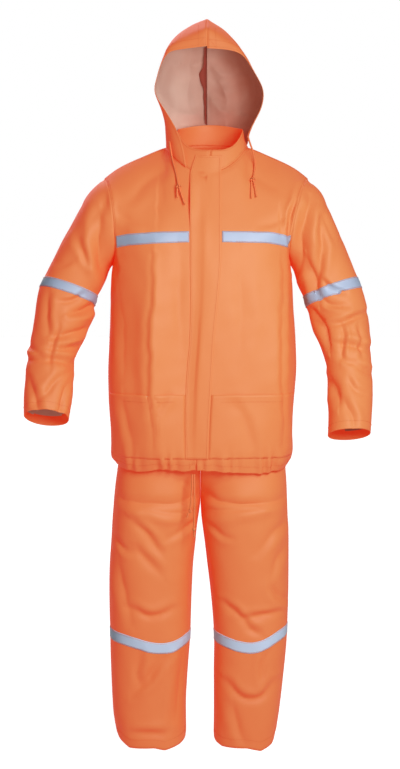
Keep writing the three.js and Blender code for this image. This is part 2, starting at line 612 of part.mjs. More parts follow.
function frontSurface(side) {
  const hole = side < 0 ? ARMHOLE.right : ARMHOLE.left;
  const seamX = side < 0 ? 'right' : 'left';
  const grid = JACKET_LEVELS.map((z) => (
    frontSection(side, z, point(sectionAt(JACKET_SECTIONS, z)[seamX], 0, z))
  ));
  for (const z of ARMHOLE_LEVELS.slice(0, CHEST_ROW + 1)) {
    grid.push(frontSection(side, z, armholePoint(hole, z, -1)));
  }
  const top = frontTopEdge(side, hole);
  const ends = (k) => [{ at: 1, target: armholePoint(hole, shoulderLevels[k], -1) }];
  grid.push(...shoulderRows(grid[grid.length - 1], top, ends, -8));
  grid.forEach((row, i) => row.forEach((here, j) => {
    const inside = j > 0 && j < row.length - 1 && i < grid.length - 1;
    if (inside) {
      here.y -= foldDepth(FRONT_FOLDS, here);
    }
  }));
  const armRow = JACKET_LEVELS.length;
  const atArm = armholeInward(hole);
  return clothSurface(grid, {
    flip: -side,
    seams: {
      first: centreInward,
      last: (here, normal, i) => (i < armRow ? sideInward(side)() : atArm(here)),
      top: (here, normal, i, j) => {
        if (j <= NECK_COLUMNS) return neckInward(here);
        return j === grid[0].length - 1 ? atArm(here) : downward();
      },
    },
  });
}

// One level section of the back, from the right end to the left end
function backSection(z, rightEnd, leftEnd) {
  const row = sectionAt(JACKET_SECTIONS, z);
  const n = JACKET_ROUNDNESS;
  const middle = (rightEnd.x + leftEnd.x) / 2;
  const endShare = Math.pow(1 - Math.pow(Math.abs(rightEnd.y) / row.back, n), 1 / n);
  const half = (leftEnd.x - middle) / endShare;
  const endAngle = Math.asin(Math.pow(endShare, n / 2));
  const points = [rightEnd.clone()];
  for (let j = 1; j < BACK_COLUMNS; j += 1) {
    const angle = lerp(-endAngle, endAngle, j / BACK_COLUMNS);
    const share = power(Math.sin(angle), 2 / n);
    const depth = row.back * Math.pow(1 - Math.pow(Math.abs(share), n), 1 / n);
    points.push(point(middle + half * share, depth, z));
  }
  points.push(leftEnd.clone());
  return points;
}


function backTopEdge() {
  const right = shoulderSeam(-1, ARMHOLE.right).reverse();
  const left = shoulderSeam(1, ARMHOLE.left);
  const neck = [];
  for (let j = 0; j <= BACK_NECK_COLUMNS; j += 1) {
    const turn = lerp(90, 270, j / BACK_NECK_COLUMNS);
    neck.push(turn <= 180 ? neckPoint(turn, -1) : neckPoint(360 - turn, 1));
  }
  return right.concat(neck, left);
}

function backSurface() {
  const grid = JACKET_LEVELS.map((z) => {
    const row = sectionAt(JACKET_SECTIONS, z);
    return backSection(z, point(row.right, 0, z), point(row.left, 0, z));
  });
  const { right, left } = ARMHOLE;
  for (const z of ARMHOLE_LEVELS.slice(0, CHEST_ROW + 1)) {
    grid.push(backSection(z, armholePoint(right, z, 1), armholePoint(left, z, 1)));
  }
  const ends = (k) => [
    { at: 0, target: armholePoint(right, shoulderLevels[k], 1) },
    { at: 1, target: armholePoint(left, shoulderLevels[k], 1) },
  ];
  grid.push(...shoulderRows(grid[grid.length - 1], backTopEdge(), ends, 10));
  grid.forEach((row, i) => row.forEach((here, j) => {
    const inside = j > 0 && j < row.length - 1 && i < grid.length - 1;
    if (inside) {
      here.y += foldDepth(BACK_FOLDS, here);
    }
  }));
  const armRow = JACKET_LEVELS.length;
  const shoulderColumns = SHOULDER_SEAM.length;
  const edge = (hole) => (here, normal, i) => (
    i < armRow ? sideInward(hole.side)() : armholeInward(hole)(here)
  );
  return clothSurface(grid, {
    flip: 1,
    seams: {
      first: edge(right),
      last: edge(left),
      top: (here, normal, i, j) => {
        if (j === 0) return armholeInward(right)(here);
        if (j === BACK_COLUMNS) return armholeInward(left)(here);
        const onNeck = j >= shoulderColumns && j <= BACK_COLUMNS - shoulderColumns;
        return onNeck ? neckInward(here) : downward();
      },
    },
  });
}

// A sleeve: rings from the armhole to the cuff, starting at the underarm and over the front
function sleeveSurface(name) {
  const hole = ARMHOLE[name];
  const armhole = [];
  for (const z of ARMHOLE_LEVELS) {
    armhole.push(armholePoint(hole, z, -1));
  }
  for (const z of ARMHOLE_LEVELS.slice(1, -1).reverse()) {
    armhole.push(armholePoint(hole, z, 1));
  }
  const middle = (ARMHOLE_LEVELS[0] + ARMHOLE_LEVELS[ARMHOLE_LEVELS.length - 1]) / 2;
  const turns = armhole.map((here) => Math.atan2(-here.y / ARMHOLE_HALF_DEPTH,
    (middle - here.z) / ((ARMHOLE_LEVELS[ARMHOLE_LEVELS.length - 1] - ARMHOLE_LEVELS[0]) / 2)));
  const table = SLEEVE_SECTIONS[name];
  const grid = [armhole];
  table.forEach((row, k) => {
    const centre = point((row.outerX + row.innerX) / 2, row.y, (row.outerZ + row.innerZ) / 2);
    const toInner = point(row.innerX, row.y, row.innerZ).sub(centre);
    const rise = radians(CUFF_RISE[name] * (k + 1) / table.length);
    const toFront = point(0, -row.depth * Math.cos(rise), row.depth * Math.sin(rise));
    grid.push(turns.map((turn) => {
      const push = 1 + sleeveFold(name, k + 1, turn) / row.depth;
      return centre.clone()
        .addScaledVector(toInner, push * Math.cos(turn))
        .addScaledVector(toFront, push * Math.sin(turn));
    }));
  });
  return clothSurface(grid, {
    wraps: true,
    flip: hole.side,
    seams: { bottom: armholeInward(hole) },
  });
}

// How far the folds of a sleeve push its wall out at a ring and an angle
function sleeveFold(name, ring, turn) {
  let depth = 0;
  for (const fold of SLEEVE_FOLDS[name]) {
    const degrees = ((turn * 180 / Math.PI) + 360) % 360;
    const apart = Math.abs(((degrees - fold.turn + 540) % 360) - 180);
    depth += fold.depth * bump((ring - fold.ring) / fold.reach) * bump(apart / fold.spread);
  }
  return depth;
}

// A point of the collar: turn is the angle from straight ahead, from -180 right to 180 left
function collarPoint(turn, height) {
  const degrees = Math.abs(turn);
  const side = turn < 0 ? -1 : 1;
  const base = neckPoint(degrees, side);
  base.z += SEAM_GAP;
  const sine = Math.sin(radians(degrees));
  const cosine = Math.cos(radians(degrees));
  const depth = cosine > 0 ? COLLAR_TOP.front : COLLAR_TOP.back;
  const z = cosine > 0
    ? lerp(COLLAR_TOP_FRONT_Z, COLLAR_TOP_SIDE_Z, Math.pow(sine, COLLAR_FRONT_BEND))
    : lerp(COLLAR_TOP_BACK_Z, COLLAR_TOP_SIDE_Z, Math.pow(sine, COLLAR_BACK_BEND));
  const top = point(COLLAR_TOP.x + side * COLLAR_TOP.halfWidth * sine,
    COLLAR_TOP.y - depth * cosine, z);
  return base.lerp(top, height);
}

// Its columns stand on the fronts' and back's own points along the neck seam
function collarSurface() {
  const turns = [0];
  frontNeckTurns(-1).forEach((turn) => turns.push(-turn));
  for (let j = 1; j < BACK_NECK_COLUMNS; j += 1) {
    const turn = lerp(90, 270, j / BACK_NECK_COLUMNS);
    turns.push(turn <= 180 ? -turn : 360 - turn);
  }
  turns.push(...frontNeckTurns(1).reverse(), 0);
  const grid = COLLAR_ROWS.map((height) => turns.map((turn) => collarPoint(turn, height)));
  return clothSurface(grid, {
    flip: 1,
    seams: { first: centreInward, last: centreInward, bottom: neckInward },
  });
}

// A hood half: rows from the neck seam to the crown, columns from the face opening to the seam
function hoodSurface(name) {
  const side = name === 'right' ? -1 : 1;
  const { from, lifts } = HOOD_BASE[name];
  const base = [];
  for (let j = 0; j <= HOOD_COLUMNS; j += 1) {
    const degrees = lerp(from, 180, j / HOOD_COLUMNS);
    const foot = neckPoint(degrees, side, CLOTH + HOOD_BASE_CLEAR);
    const lift = sampleList(lifts, (degrees - from) / HOOD_LIFT_STEP_DEG);
    foot.z += SEAM_GAP + 1 + lift;
    base.push(foot);
  }
  const grid = [base];
  for (const row of HOOD_SECTIONS[name]) {
    grid.push(hoodRow(row, side));
  }
  return clothSurface(grid, {
    flip: -side,
    seams: { last: centreInward, top: centreInward },
  });
}

// A value of a short list at a place between its entries, and nothing past its end
function sampleList(list, place) {
  const low = Math.floor(place);
  const at = (k) => (k < list.length ? list[k] : 0);
  return lerp(at(low), at(low + 1), place - low);
}

function hoodRow(row, side) {
  const points = [];
  const n = HOOD_ROUNDNESS;
  for (let j = 0; j <= HOOD_COLUMNS; j += 1) {
    const share = j / HOOD_COLUMNS;
    const angle = radians(lerp(row.open, 180, share));
    const depth = Math.cos(angle) > 0 ? row.front : row.back;
    const x = NECK.x + side * row.halfWidth * power(Math.sin(angle), 2 / n);
    const y = row.y - depth * power(Math.cos(angle), 2 / n);
    const z = lerp(row.edgeZ, row.backZ, Math.pow(Math.sin(share * Math.PI / 2), 1.5));
    points.push(point(x, y, z));
  }
  return points;
}

// A trouser panel: rows from the waist to the hem, columns from the side to the centre or inseam
function legSurface(name) {
  const front = name.startsWith('front');
  const right = name.endsWith('right');
  const side = right ? -1 : 1;
  const face = front ? -1 : 1;
  const grid = LEG_SECTIONS.map((row) => {
    const outer = right ? row.right : row.left;
    const inner = right ? row.rightIn : row.leftIn;
    const depth = front ? row.front : row.back;
    const points = [];
    for (let j = 0; j <= LEG_COLUMNS; j += 1) {
      const share = j / LEG_COLUMNS;
      const hip = hipPoint(outer, depth, face, radians(90 * share), row.z);
      const leg = legPoint(outer, inner, depth, face, radians(180 * share), row.z);
      const here = hip.lerp(leg, row.split);
      if (j > 0 && j < LEG_COLUMNS) {
        here.y += face * legFold(name, row.z, 180 * share) * row.split;
      }
      points.push(here);
    }
    return points;
  });
  const crotch = LEG_SECTIONS.findIndex((row) => row.split === 1);
  const inseam = (here, normal, i) => {
    if (i < crotch) return point(0, normal.y, normal.z);
    return i === crotch ? point(0, 0, 1) : point(side, 0, 0);
  };
  return clothSurface(grid, {
    flip: side * face,
    seams: { first: sideInward(side), last: inseam },
  });
}

function hipPoint(outer, depth, face, angle, z) {
  const n = LEG_ROUNDNESS;
  const x = RISE_X + (outer - RISE_X) * power(Math.cos(angle), 2 / n);
  return point(x, face * depth * power(Math.sin(angle), 2 / n), z);
}

function legPoint(outer, inner, depth, face, angle, z) {
  const n = LEG_ROUNDNESS;
  const middle = (outer + inner) / 2;
  const half = (outer - inner) / 2;
  const x = middle + half * power(Math.cos(angle), 2 / n);
  return point(x, face * depth * power(Math.max(0, Math.sin(angle)), 2 / n), z);
}

function legFold(name, z, turn) {
  let depth = 0;
  for (const fold of LEG_FOLDS[name]) {
    depth += fold.depth * bump((z - fold.z) / fold.reach) * bump((turn - fold.turn) / fold.spread);
  }
  return depth;
}

// The ring of a leg between two rows: front panel's points, then the back panel's
function legRing(front, back, side) {
  const join = (a, b) => a.map((row, i) => row.concat(b[i].slice(1, -1).reverse()));
  const grid = join(front.grid, back.grid);
  return { grid, normals: gridNormals(grid, true, side), wraps: true };
}

function waistbandGeometry() {
  const top = LEG_SECTIONS[0];
  const ring = (z, inset) => {
    const points = [];
    for (const name of ['front', 'back']) {
      const face = name === 'front' ? -1 : 1;
      const depth = top[name] - inset;
      for (let j = 0; j < 2 * LEG_COLUMNS; j += 1) {
        const turn = face < 0 ? j : 2 * LEG_COLUMNS - j;
        const outer = turn <= LEG_COLUMNS ? top.right + inset : top.left - inset;
        const share = turn <= LEG_COLUMNS ? turn / LEG_COLUMNS : 2 - turn / LEG_COLUMNS;
        points.push(hipPoint(outer, depth, face, radians(90 * share), z));
      }
    }
    return points;
  };
  const low = top.z + SEAM_GAP;
  const high = low + WAISTBAND_HEIGHT;
  return wallGeometry([ring(low, 0), ring(high, 0)],
    [ring(low, WAISTBAND_THICKNESS), ring(high, WAISTBAND_THICKNESS)], true);
}

// The storm flap lies over both fronts, made from their points next to the closure,
// and goes on up over the front of the collar

// A row with the middle of each span added
function withMiddles(row) {
  return row.flatMap((here, j) => (
    j < row.length - 1 ? [here, here.clone().lerp(row[j + 1], 0.5)] : [here]
  ));
}

function stormFlapGeometry(right, left) {
  const grid = [];
  const normals = [];
  const lastRow = right.grid.length - 1;
  const closureNormal = (i) => right.normals[i][0].clone().add(left.normals[i][0]).normalize();
  for (let i = FLAP_FIRST_ROW; i <= lastRow; i += 1) {
    grid.push(withMiddles([right.grid[i][1], right.grid[i][0], left.grid[i][1]]));
    normals.push(withMiddles([right.normals[i][1], closureNormal(i), left.normals[i][1]]));
  }
  for (const height of FLAP_TOP_HEIGHTS) {
    grid.push(grid[lastRow - FLAP_FIRST_ROW].map((here) => (
      collarPoint(Math.asin((here.x - NECK.x) / NECK.halfWidth) * 180 / Math.PI, height)
    )));
    normals.push(normals[0].map(() => point(0, -FLAP_COLLAR_SPREAD, 0)));
  }
  const lift = (here, j) => (
    j === 0 ? FLAP_LIFT.depth * bump((here.z - FLAP_LIFT.z) / FLAP_LIFT.reach) : 0
  );
  const layer = (distance) => grid.map((row, i) => row.map((here, j) => (
    here.clone().addScaledVector(normals[i][j], distance + lift(here, j))
  )));
  return wallGeometry(layer(FLAP_CLEAR + CLOTH), layer(FLAP_CLEAR), false);
}

// A free cord: a round section run along its route
function cordGeometry(route) {
  const path = new THREE.CatmullRomCurve3(route.map(([x, y, z]) => point(x, y, z)));
  const corners = [];
  for (let k = 0; k < CORD_SIDES; k += 1) {
    const turn = 2 * Math.PI * k / CORD_SIDES;
    corners.push(new THREE.Vector2(CORD_RADIUS * Math.cos(turn), CORD_RADIUS * Math.sin(turn)));
  }
  const steps = Math.max(2, Math.round(path.getLength() / CORD_STEP));
  return new THREE.ExtrudeGeometry(new THREE.Shape(corners), {
    extrudePath: path,
    steps,
    curveSegments: 1,
  });
}

// A knot or bead on a cord
function knotGeometry({ at, width, height }) {
  const geometry = new THREE.IcosahedronGeometry(0.5, 1);
  return geometry.scale(width, width, height).translate(...at);
}

// Materials
const cloth = () => new THREE.MeshStandardMaterial({ color: ORANGE, roughness: 0.6, metalness: 0 });
const trim = () => new THREE.MeshStandardMaterial({ color: ORANGE_TRIM, roughness: 0.7, metalness: 0 });
const tape = () => new THREE.MeshStandardMaterial({ color: SILVER, roughness: 0.45, metalness: 0.3 });

const group = new THREE.Group();

function addPiece(parent, name, geometry, material) {
  const mesh = new THREE.Mesh(geometry, material);
  mesh.name = name;
  parent.add(mesh);
}

// Jacket
const jacket = new THREE.Group();
const fronts = { right: frontSurface(-1), left: frontSurface(1) };
const back = backSurface();
const sleeves = { right: sleeveSurface('right'), left: sleeveSurface('left') };
const tapeRows = [JACKET_LEVELS.length + CHEST_ROW - 1, JACKET_LEVELS.length + CHEST_ROW];
const pocketRows = [POCKET_FIRST_ROW, JACKET_LEVELS.indexOf(POCKET_TOP_Z)];

for (const name of ['right', 'left']) {
  addPiece(jacket, `jacket_front_${name}`, clothGeometry(fronts[name]), cloth());
  addPiece(jacket, `sleeve_${name}`, clothGeometry(sleeves[name]), cloth());
  addPiece(jacket, `hood_${name}`, clothGeometry(hoodSurface(name)), cloth());
  addPiece(jacket, `pocket_${name}`, layerGeometry(fronts[name], {
    rows: pocketRows,
    columns: [1, FRONT_COLUMNS],
    thickness: CLOTH,
    inset: [1, 1],
  }), cloth());
  addPiece(jacket, `tape_chest_${name}`, layerGeometry(fronts[name], {
    rows: tapeRows,
    columns: [1, FRONT_COLUMNS],
    thickness: TAPE,
    inset: [TAPE_END_INSET, TAPE_END_INSET],
  }), tape());
  addPiece(jacket, `tape_sleeve_${name}`, layerGeometry(sleeves[name], {
    rows: [SLEEVE_TAPE_ROW, SLEEVE_TAPE_ROW + 1],
    thickness: TAPE,
  }), tape());
}
addPiece(jacket, 'jacket_back', clothGeometry(back), cloth());
addPiece(jacket, 'tape_back', layerGeometry(back, {
  rows: tapeRows,
  columns: [0, BACK_COLUMNS],
  thickness: TAPE,
  inset: [TAPE_END_INSET, TAPE_END_INSET],
}), tape());
addPiece(jacket, 'collar', clothGeometry(collarSurface()), cloth());
addPiece(jacket, 'storm_flap', stormFlapGeometry(fronts.right, fronts.left), cloth());
for (const [name, route] of Object.entries(CORD_ROUTES)) {
  addPiece(jacket, name, cordGeometry(route), trim());
}
for (const [name, knot] of Object.entries(KNOTS)) {
  addPiece(jacket, name, knotGeometry(knot), trim());
}
group.add(jacket);

// Trousers
const trousers = new THREE.Group();
const legTapeRow = LEG_SECTIONS.findIndex((row) => row.z === LEG_TAPE_Z);
for (const name of ['right', 'left']) {
  const front = legSurface(`front_${name}`);
  const rear = legSurface(`back_${name}`);
  addPiece(trousers, `trousers_front_${name}`, clothGeometry(front), cloth());
  addPiece(trousers, `trousers_back_${name}`, clothGeometry(rear), cloth());
  addPiece(trousers, `tape_leg_${name}`, layerGeometry(legRing(front, rear, name === 'right' ? 1 : -1), {
    rows: [legTapeRow, legTapeRow + 1],
    thickness: TAPE,
  }), tape());
}
addPiece(trousers, 'waistband', waistbandGeometry(), trim());
group.add(trousers);

export default group;
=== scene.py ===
"""Looks of a worn rain suit: cloth shells, reflective tape, sewing, drawcords and a plain stage."""

import math

import bpy
import numpy as np
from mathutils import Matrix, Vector
from mathutils.kdtree import KDTree


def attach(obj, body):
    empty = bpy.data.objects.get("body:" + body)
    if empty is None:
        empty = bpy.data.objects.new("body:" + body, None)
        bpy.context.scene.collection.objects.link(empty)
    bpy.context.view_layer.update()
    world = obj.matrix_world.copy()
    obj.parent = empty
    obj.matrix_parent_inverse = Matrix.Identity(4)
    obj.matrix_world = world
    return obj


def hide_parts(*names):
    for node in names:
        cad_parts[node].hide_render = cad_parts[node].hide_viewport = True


bl_info = {
    "name": "Rain suit looks",
    "version": (1, 0, 0),
    "blender": (4, 5, 0),
    "location": "View3D > Sidebar > Rain suit",
    "description": "Builds the cloth, tape, sewing and cords of a worn rain suit",
    "category": "Object",
}

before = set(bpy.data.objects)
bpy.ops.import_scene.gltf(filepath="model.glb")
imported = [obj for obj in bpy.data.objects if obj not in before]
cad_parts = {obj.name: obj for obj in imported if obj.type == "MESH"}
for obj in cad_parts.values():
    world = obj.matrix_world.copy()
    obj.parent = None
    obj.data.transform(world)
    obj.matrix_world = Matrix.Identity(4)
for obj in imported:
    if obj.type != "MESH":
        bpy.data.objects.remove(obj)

MM = 0.001
FRONT = 1
BACK = -1
ROUND = 0

# Shared sizes, in millimetres
CLOTH_THICKNESS = 0.8
TAPE_THICKNESS = 0.5
TAPE_CLEAR = 0.9
RIM_EDGE = 2.9
WAISTBAND_RIM_EDGE = 3.2
CORD_DIAMETER = 4
STITCH_LENGTH = 2.6
STITCH_STEP = 3.6
STITCH_RADIUS = 0.33
STITCH_SIDES = 4
SHORTEST_RUN = 3
SHORTEST_EDGE = 8

# Joining and squaring of the solids' triangles
MERGE_DISTANCE = 0.01
QUAD_FACE_DEG = 60
QUAD_SHAPE_DEG = 70

# Corner cutting along a crease's path
CORNER_ROUNDS = 2
CORNER_CUT = 0.25

# Profile of a crease, in its half-widths: the trough's core and spread, and the ridge beside it
TROUGH_CORE = 0.6
TROUGH_SPREAD = 1.2
RIDGE_RISE = 0.45
RIDGE_PLACE = 1.9
RIDGE_SPREAD = 1.1

# How a crease runs out at its ends: where it starts, the share that it spans, and its power
CREASE_START = 0.08
CREASE_SPAN = 0.84
CREASE_END_POWER = 0.7

# How a crease fades where the cloth turns away from its side
FACING_BASE = 0.35
FACING_GAIN = 1.6

# Waver of the creases' paths: (wave size, seed) across and along, and its reach
CREASE_WAVER = ((60, 5), (70, 9))
CREASE_WAVER_REACH = 3

# Slow waves of the cloth: (wave size, seed, share of the unevenness), then how waves are summed
SLOW_WAVES = ((150, 3, 0.7), (55, 4, 0.3))
WAVE_COUNT = 7
WAVE_SPREAD = (0.7, 1.6)
WAVE_SUM = 3.5

# Unevenness of the hem's gathers: drift of their spacing, and rise and fall of their height
GATHER_DRIFT = (1.4, 0.37, 1)
GATHER_SWELL = (0.6, 0.4, 0.23)

# How steeply lifted edges rise, the evening of the flap, and the number of shells from which
# a layer is held outside them all
LIFT_POWER = 1.5
EASE_FACTOR = 0.5
MANY_SUPPORTS = 4

# Panels whose outer skin becomes a shell, with the levels of subdivision
SHELLS = {
    "jacket_front_right": 3,
    "jacket_front_left": 3,
    "jacket_back": 3,
    "sleeve_right": 3,
    "sleeve_left": 3,
    "hood_right": 3,
    "hood_left": 3,
    "collar": 2,
    "trousers_front_right": 3,
    "trousers_front_left": 3,
    "trousers_back_right": 3,
    "trousers_back_left": 3,
    "waistband": 2,
}

# Layers that lie on the shells: levels, and the shells that each one rests on
LAYERS = {
    "pocket_right": (3, ("jacket_front_right",)),
    "pocket_left": (3, ("jacket_front_left",)),
    "storm_flap": (3, ("jacket_front_right", "jacket_front_left", "pocket_right", "pocket_left", "collar")),
    "tape_chest_right": (3, ("jacket_front_right",)),
    "tape_chest_left": (3, ("jacket_front_left",)),
    "tape_back": (3, ("jacket_back",)),
    "tape_sleeve_right": (3, ("sleeve_right",)),
    "tape_sleeve_left": (3, ("sleeve_left",)),
    "tape_leg_right": (3, ("trousers_front_right", "trousers_back_right")),
    "tape_leg_left": (3, ("trousers_front_left", "trousers_back_left")),
}

# Creases: path of (x, z) points, half-width, depth, and the side of the path that stands up
CREASES = {
    "front_right": [
        ([(-112, -212), (-114, -344), (-119, -456), (-117, -568), (-108, -690)], 44, -14, 1),
        ([(-118, -240), (-121, -344), (-126, -456), (-124, -568), (-116, -668)], 6, 3.5, 1),
        ([(-220, -109), (-224, -154), (-224, -203), (-215, -237), (-202, -272)], 7, 7, 1),
        ([(-85, -42), (-135, -80), (-175, -120)], 12, 3, 1),
        ([(-197, -147), (-166, -170), (-135, -178)], 9, 2.5, -1),
        ([(-83, -548), (-101, -577), (-121, -599)], 7, 3.5, 1),
        ([(-193, -344), (-179, -434), (-184, -523)], 14, 3, -1),
        ([(-184, -568), (-170, -635), (-161, -691)], 10, 3, -1),
        ([(-56, -232), (-61, -344), (-59, -456)], 10, 2, 1),
    ],
    "front_left": [
        ([(160, -225), (158, -366), (155, -478), (158, -568), (158, -690)], 36, -9, 1),
        ([(169, -259), (168, -366), (165, -478), (168, -568), (168, -668)], 6, 3, 1),
        ([(214, -89), (197, -134), (190, -176), (190, -217), (194, -272)], 7, 7, -1),
        ([(98, -58), (138, -76), (179, -111)], 11, 2.5, -1),
        ([(183, -152), (147, -170), (116, -174)], 9, 2.5, 1),
        ([(76, -259), (82, -366), (76, -456)], 15, 2.5, 1),
        ([(58, -568), (89, -613), (103, -680)], 11, 2.5, 1),
    ],
    "back": [
        ([(-196, -120), (-203, -180), (-190, -250)], 9, 7.8, -1),
        ([(188, -110), (186, -185), (180, -262)], 9, 7.8, 1),
        ([(-120, -300), (-131, -420), (-118, -560)], 15, 6.5, 1),
        ([(131, -280), (120, -430), (134, -600)], 15, 6.5, -1),
        ([(-40, -360), (-30, -500), (-46, -660)], 16, 4.5, -1),
        ([(-110, -90), (-60, -130), (0, -142)], 13, 3.9, 1),
        ([(120, -96), (70, -128), (14, -136)], 13, 3.2, -1),
        ([(-170, -640), (-100, -662), (-20, -655)], 10, 3.9, 1),
        ([(150, -590), (90, -640), (40, -668)], 11, 3.9, -1),
    ],
    "sleeve_right": [
        ([(-240, -150), (-240, -225), (-228, -300)], 12, 11, -1),
        ([(-236, -344), (-262, -365), (-300, -372)], 7, 11, 1),
        ([(-246, -398), (-299, -416), (-345, -420)], 8, 8, 1),
        ([(-352, -330), (-360, -372), (-356, -420)], 8, 5, 1),
        ([(-408, -478), (-350, -468), (-300, -478), (-286, -512)], 8, 9, 1),
        ([(-280, -440), (-312, -452), (-352, -446)], 6, 5, -1),
        ([(-204, -87), (-244, -132), (-267, -191)], 13, 3, 1),
        ([(-300, -500), (-339, -526), (-372, -560)], 8, 5, -1),
        ([(-396, -515), (-378, -548), (-366, -590)], 8, 5, 1),
        ([(-312, -560), (-326, -590), (-350, -604)], 6, 4, 1),
        ([(-300, -250), (-318, -262), (-336, -262)], 7, 3, 1),
        ([(-262, -262), (-280, -236), (-292, -200)], 7, 5, 1),
        ([(-276, -330), (-300, -346), (-330, -344)], 6, 5, -1),
        ([(-330, -400), (-346, -440), (-344, -486)], 6, 5, 1),
        ([(-300, -520), (-314, -546), (-318, -580)], 5, 4, 1),
        ([(-402, -440), (-384, -456), (-362, -460)], 6, 5, -1),
    ],
    "sleeve_left": [
        ([(234, -110), (216, -180), (212, -270)], 12, 11, 1),
        ([(256, -160), (262, -220), (246, -300)], 9, 7, 1),
        ([(262, -150), (273, -175), (285, -202)], 6, 4, 1),
        ([(226, -250), (240, -300), (250, -345)], 8, 8, -1),
        ([(236, -362), (262, -400), (276, -446)], 8, 11, -1),
        ([(276, -398), (316, -386), (368, -366)], 7, 8, 1),
        ([(290, -436), (326, -440), (372, -452)], 7, 8, 1),
        ([(266, -506), (284, -536), (290, -570)], 8, 9, -1),
        ([(330, -486), (352, -500), (378, -516)], 7, 6, 1),
        ([(300, -560), (320, -590), (326, -620)], 8, 5, 1),
        ([(185, -55), (226, -96), (257, -136)], 13, 2.5, -1),
        ([(300, -470), (318, -480), (340, -478)], 6, 4, -1),
        ([(262, -300), (284, -320), (312, -326)], 6, 6, 1),
        ([(256, -336), (282, -352), (318, -352)], 6, 5, -1),
        ([(300, -400), (306, -430), (300, -470)], 6, 6, 1),
        ([(344, -400), (350, -436), (346, -470)], 6, 5, -1),
        ([(312, -520), (330, -540), (356, -548)], 6, 5, 1),
    ],
    "sleeve_right_back": [
        ([(-240, -180), (-258, -250), (-252, -330)], 11, 9, 1),
        ([(-256, -360), (-310, -372), (-352, -360)], 8, 8, 1),
        ([(-270, -420), (-330, -424), (-392, -408)], 9, 9, 1),
        ([(-290, -470), (-340, -462), (-398, -476)], 8, 7, -1),
        ([(-300, -530), (-345, -540), (-396, -520)], 8, 6, -1),
    ],
    "sleeve_left_back": [
        ([(226, -170), (246, -240), (240, -330)], 11, 9, -1),
        ([(240, -372), (300, -378), (350, -362)], 8, 8, 1),
        ([(256, -430), (318, -436), (374, -420)], 9, 9, 1),
        ([(262, -490), (316, -486), (374, -500)], 8, 7, -1),
        ([(272, -550), (320, -560), (368, -540)], 8, 6, -1),
    ],
    "sleeve_cap_right": [
        ([(-238, -70), (-262, -96), (-280, -128)], 26, -7, 1),
    ],
    "sleeve_cap_left": [
        ([(238, -70), (262, -98), (276, -130)], 26, -7, 1),
    ],
    "hood": [
        ([(26, 176), (52, 150), (50, 104)], 20, 13, 1),
        ([(10, 128), (34, 98), (60, 92)], 14, 10, 1),
        ([(-34, 190), (-52, 150), (-44, 104)], 16, 6, -1),
        ([(-16, 100), (-38, 88), (-60, 96)], 12, 5, 1),
        ([(16, 206), (34, 190), (62, 184)], 12, 9, -1),
        ([(-10, 216), (-24, 204), (-40, 206)], 12, -7, 1),
    ],
    "legs_right": [
        ([(-14, -783), (-59, -797), (-127, -797), (-195, -790)], 11, 7.5, 1),
        ([(-18, -815), (-68, -817), (-136, -810)], 10, 6, 1),
        ([(-163, -839), (-136, -869), (-104, -907)], 9, 6, 1),
        ([(-156, -901), (-131, -928), (-104, -957)], 9, 5.2, 1),
        ([(-199, -937), (-186, -1000), (-168, -1068)], 12, 5.2, -1),
        ([(-170, -1036), (-140, -1054), (-109, -1054), (-77, -1038)], 8, 6.8, 1),
        ([(-95, -1149), (-127, -1190), (-168, -1233)], 10, 6.8, 1),
        ([(-170, -1319), (-131, -1323), (-84, -1319)], 8, 6, 1),
        ([(-54, -1140), (-59, -1226), (-68, -1298)], 12, 4.5, -1),
        ([(-20, -836), (-50, -862), (-88, -880)], 7, 4, 1),
        ([(-206, -880), (-190, -900), (-160, -912)], 7, 4, -1),
        ([(-150, -1140), (-160, -1180), (-150, -1216)], 8, 4, 1),
    ],
    "legs_left": [
        ([(-7, -783), (36, -797), (99, -799), (172, -790)], 11, 7.5, -1),
        ([(-5, -815), (45, -817), (113, -812)], 10, 6, -1),
        ([(185, -842), (144, -873), (113, -910)], 10, 4.5, 1),
        ([(183, -1025), (165, -1009), (149, -991)], 9, 6, 1),
        ([(40, -1027), (61, -1043), (81, -1063)], 8, 6, 1),
        ([(172, -1050), (126, -1056), (81, -1063)], 8, 6, -1),
        ([(86, -1068), (99, -1084), (122, -1095)], 8, 6, 1),
        ([(45, -1206), (81, -1242), (122, -1246), (156, -1212)], 9, 7.5, 1),
        ([(59, -1262), (68, -1303), (90, -1339)], 10, 4.5, -1),
        ([(2, -842), (30, -866), (60, -874)], 7, 4, -1),
        ([(176, -900), (160, -930), (150, -962)], 8, 4, 1),
        ([(140, -1140), (128, -1176), (134, -1206)], 8, 4, -1),
    ],
    "legs_back": [
        ([(-180, -800), (-110, -822), (-20, -806)], 12, 7, 1),
        ([(160, -796), (100, -818), (10, -808)], 12, 7, 1),
        ([(-190, -850), (-130, -880), (-70, -868)], 11, 5.6, -1),
        ([(180, -860), (120, -884), (60, -870)], 11, 5.6, -1),
        ([(-196, -1020), (-140, -1044), (-74, -1030)], 10, 7, 1),
        ([(186, -1014), (120, -1040), (50, -1028)], 10, 7, 1),
        ([(-180, -1080), (-130, -1068), (-70, -1084)], 9, 4.9, -1),
        ([(176, -1076), (110, -1064), (56, -1080)], 9, 4.9, -1),
        ([(-120, -1150), (-128, -1230), (-112, -1310)], 13, 5.6, 1),
        ([(110, -1150), (118, -1240), (104, -1318)], 13, 5.6, -1),
    ],
}

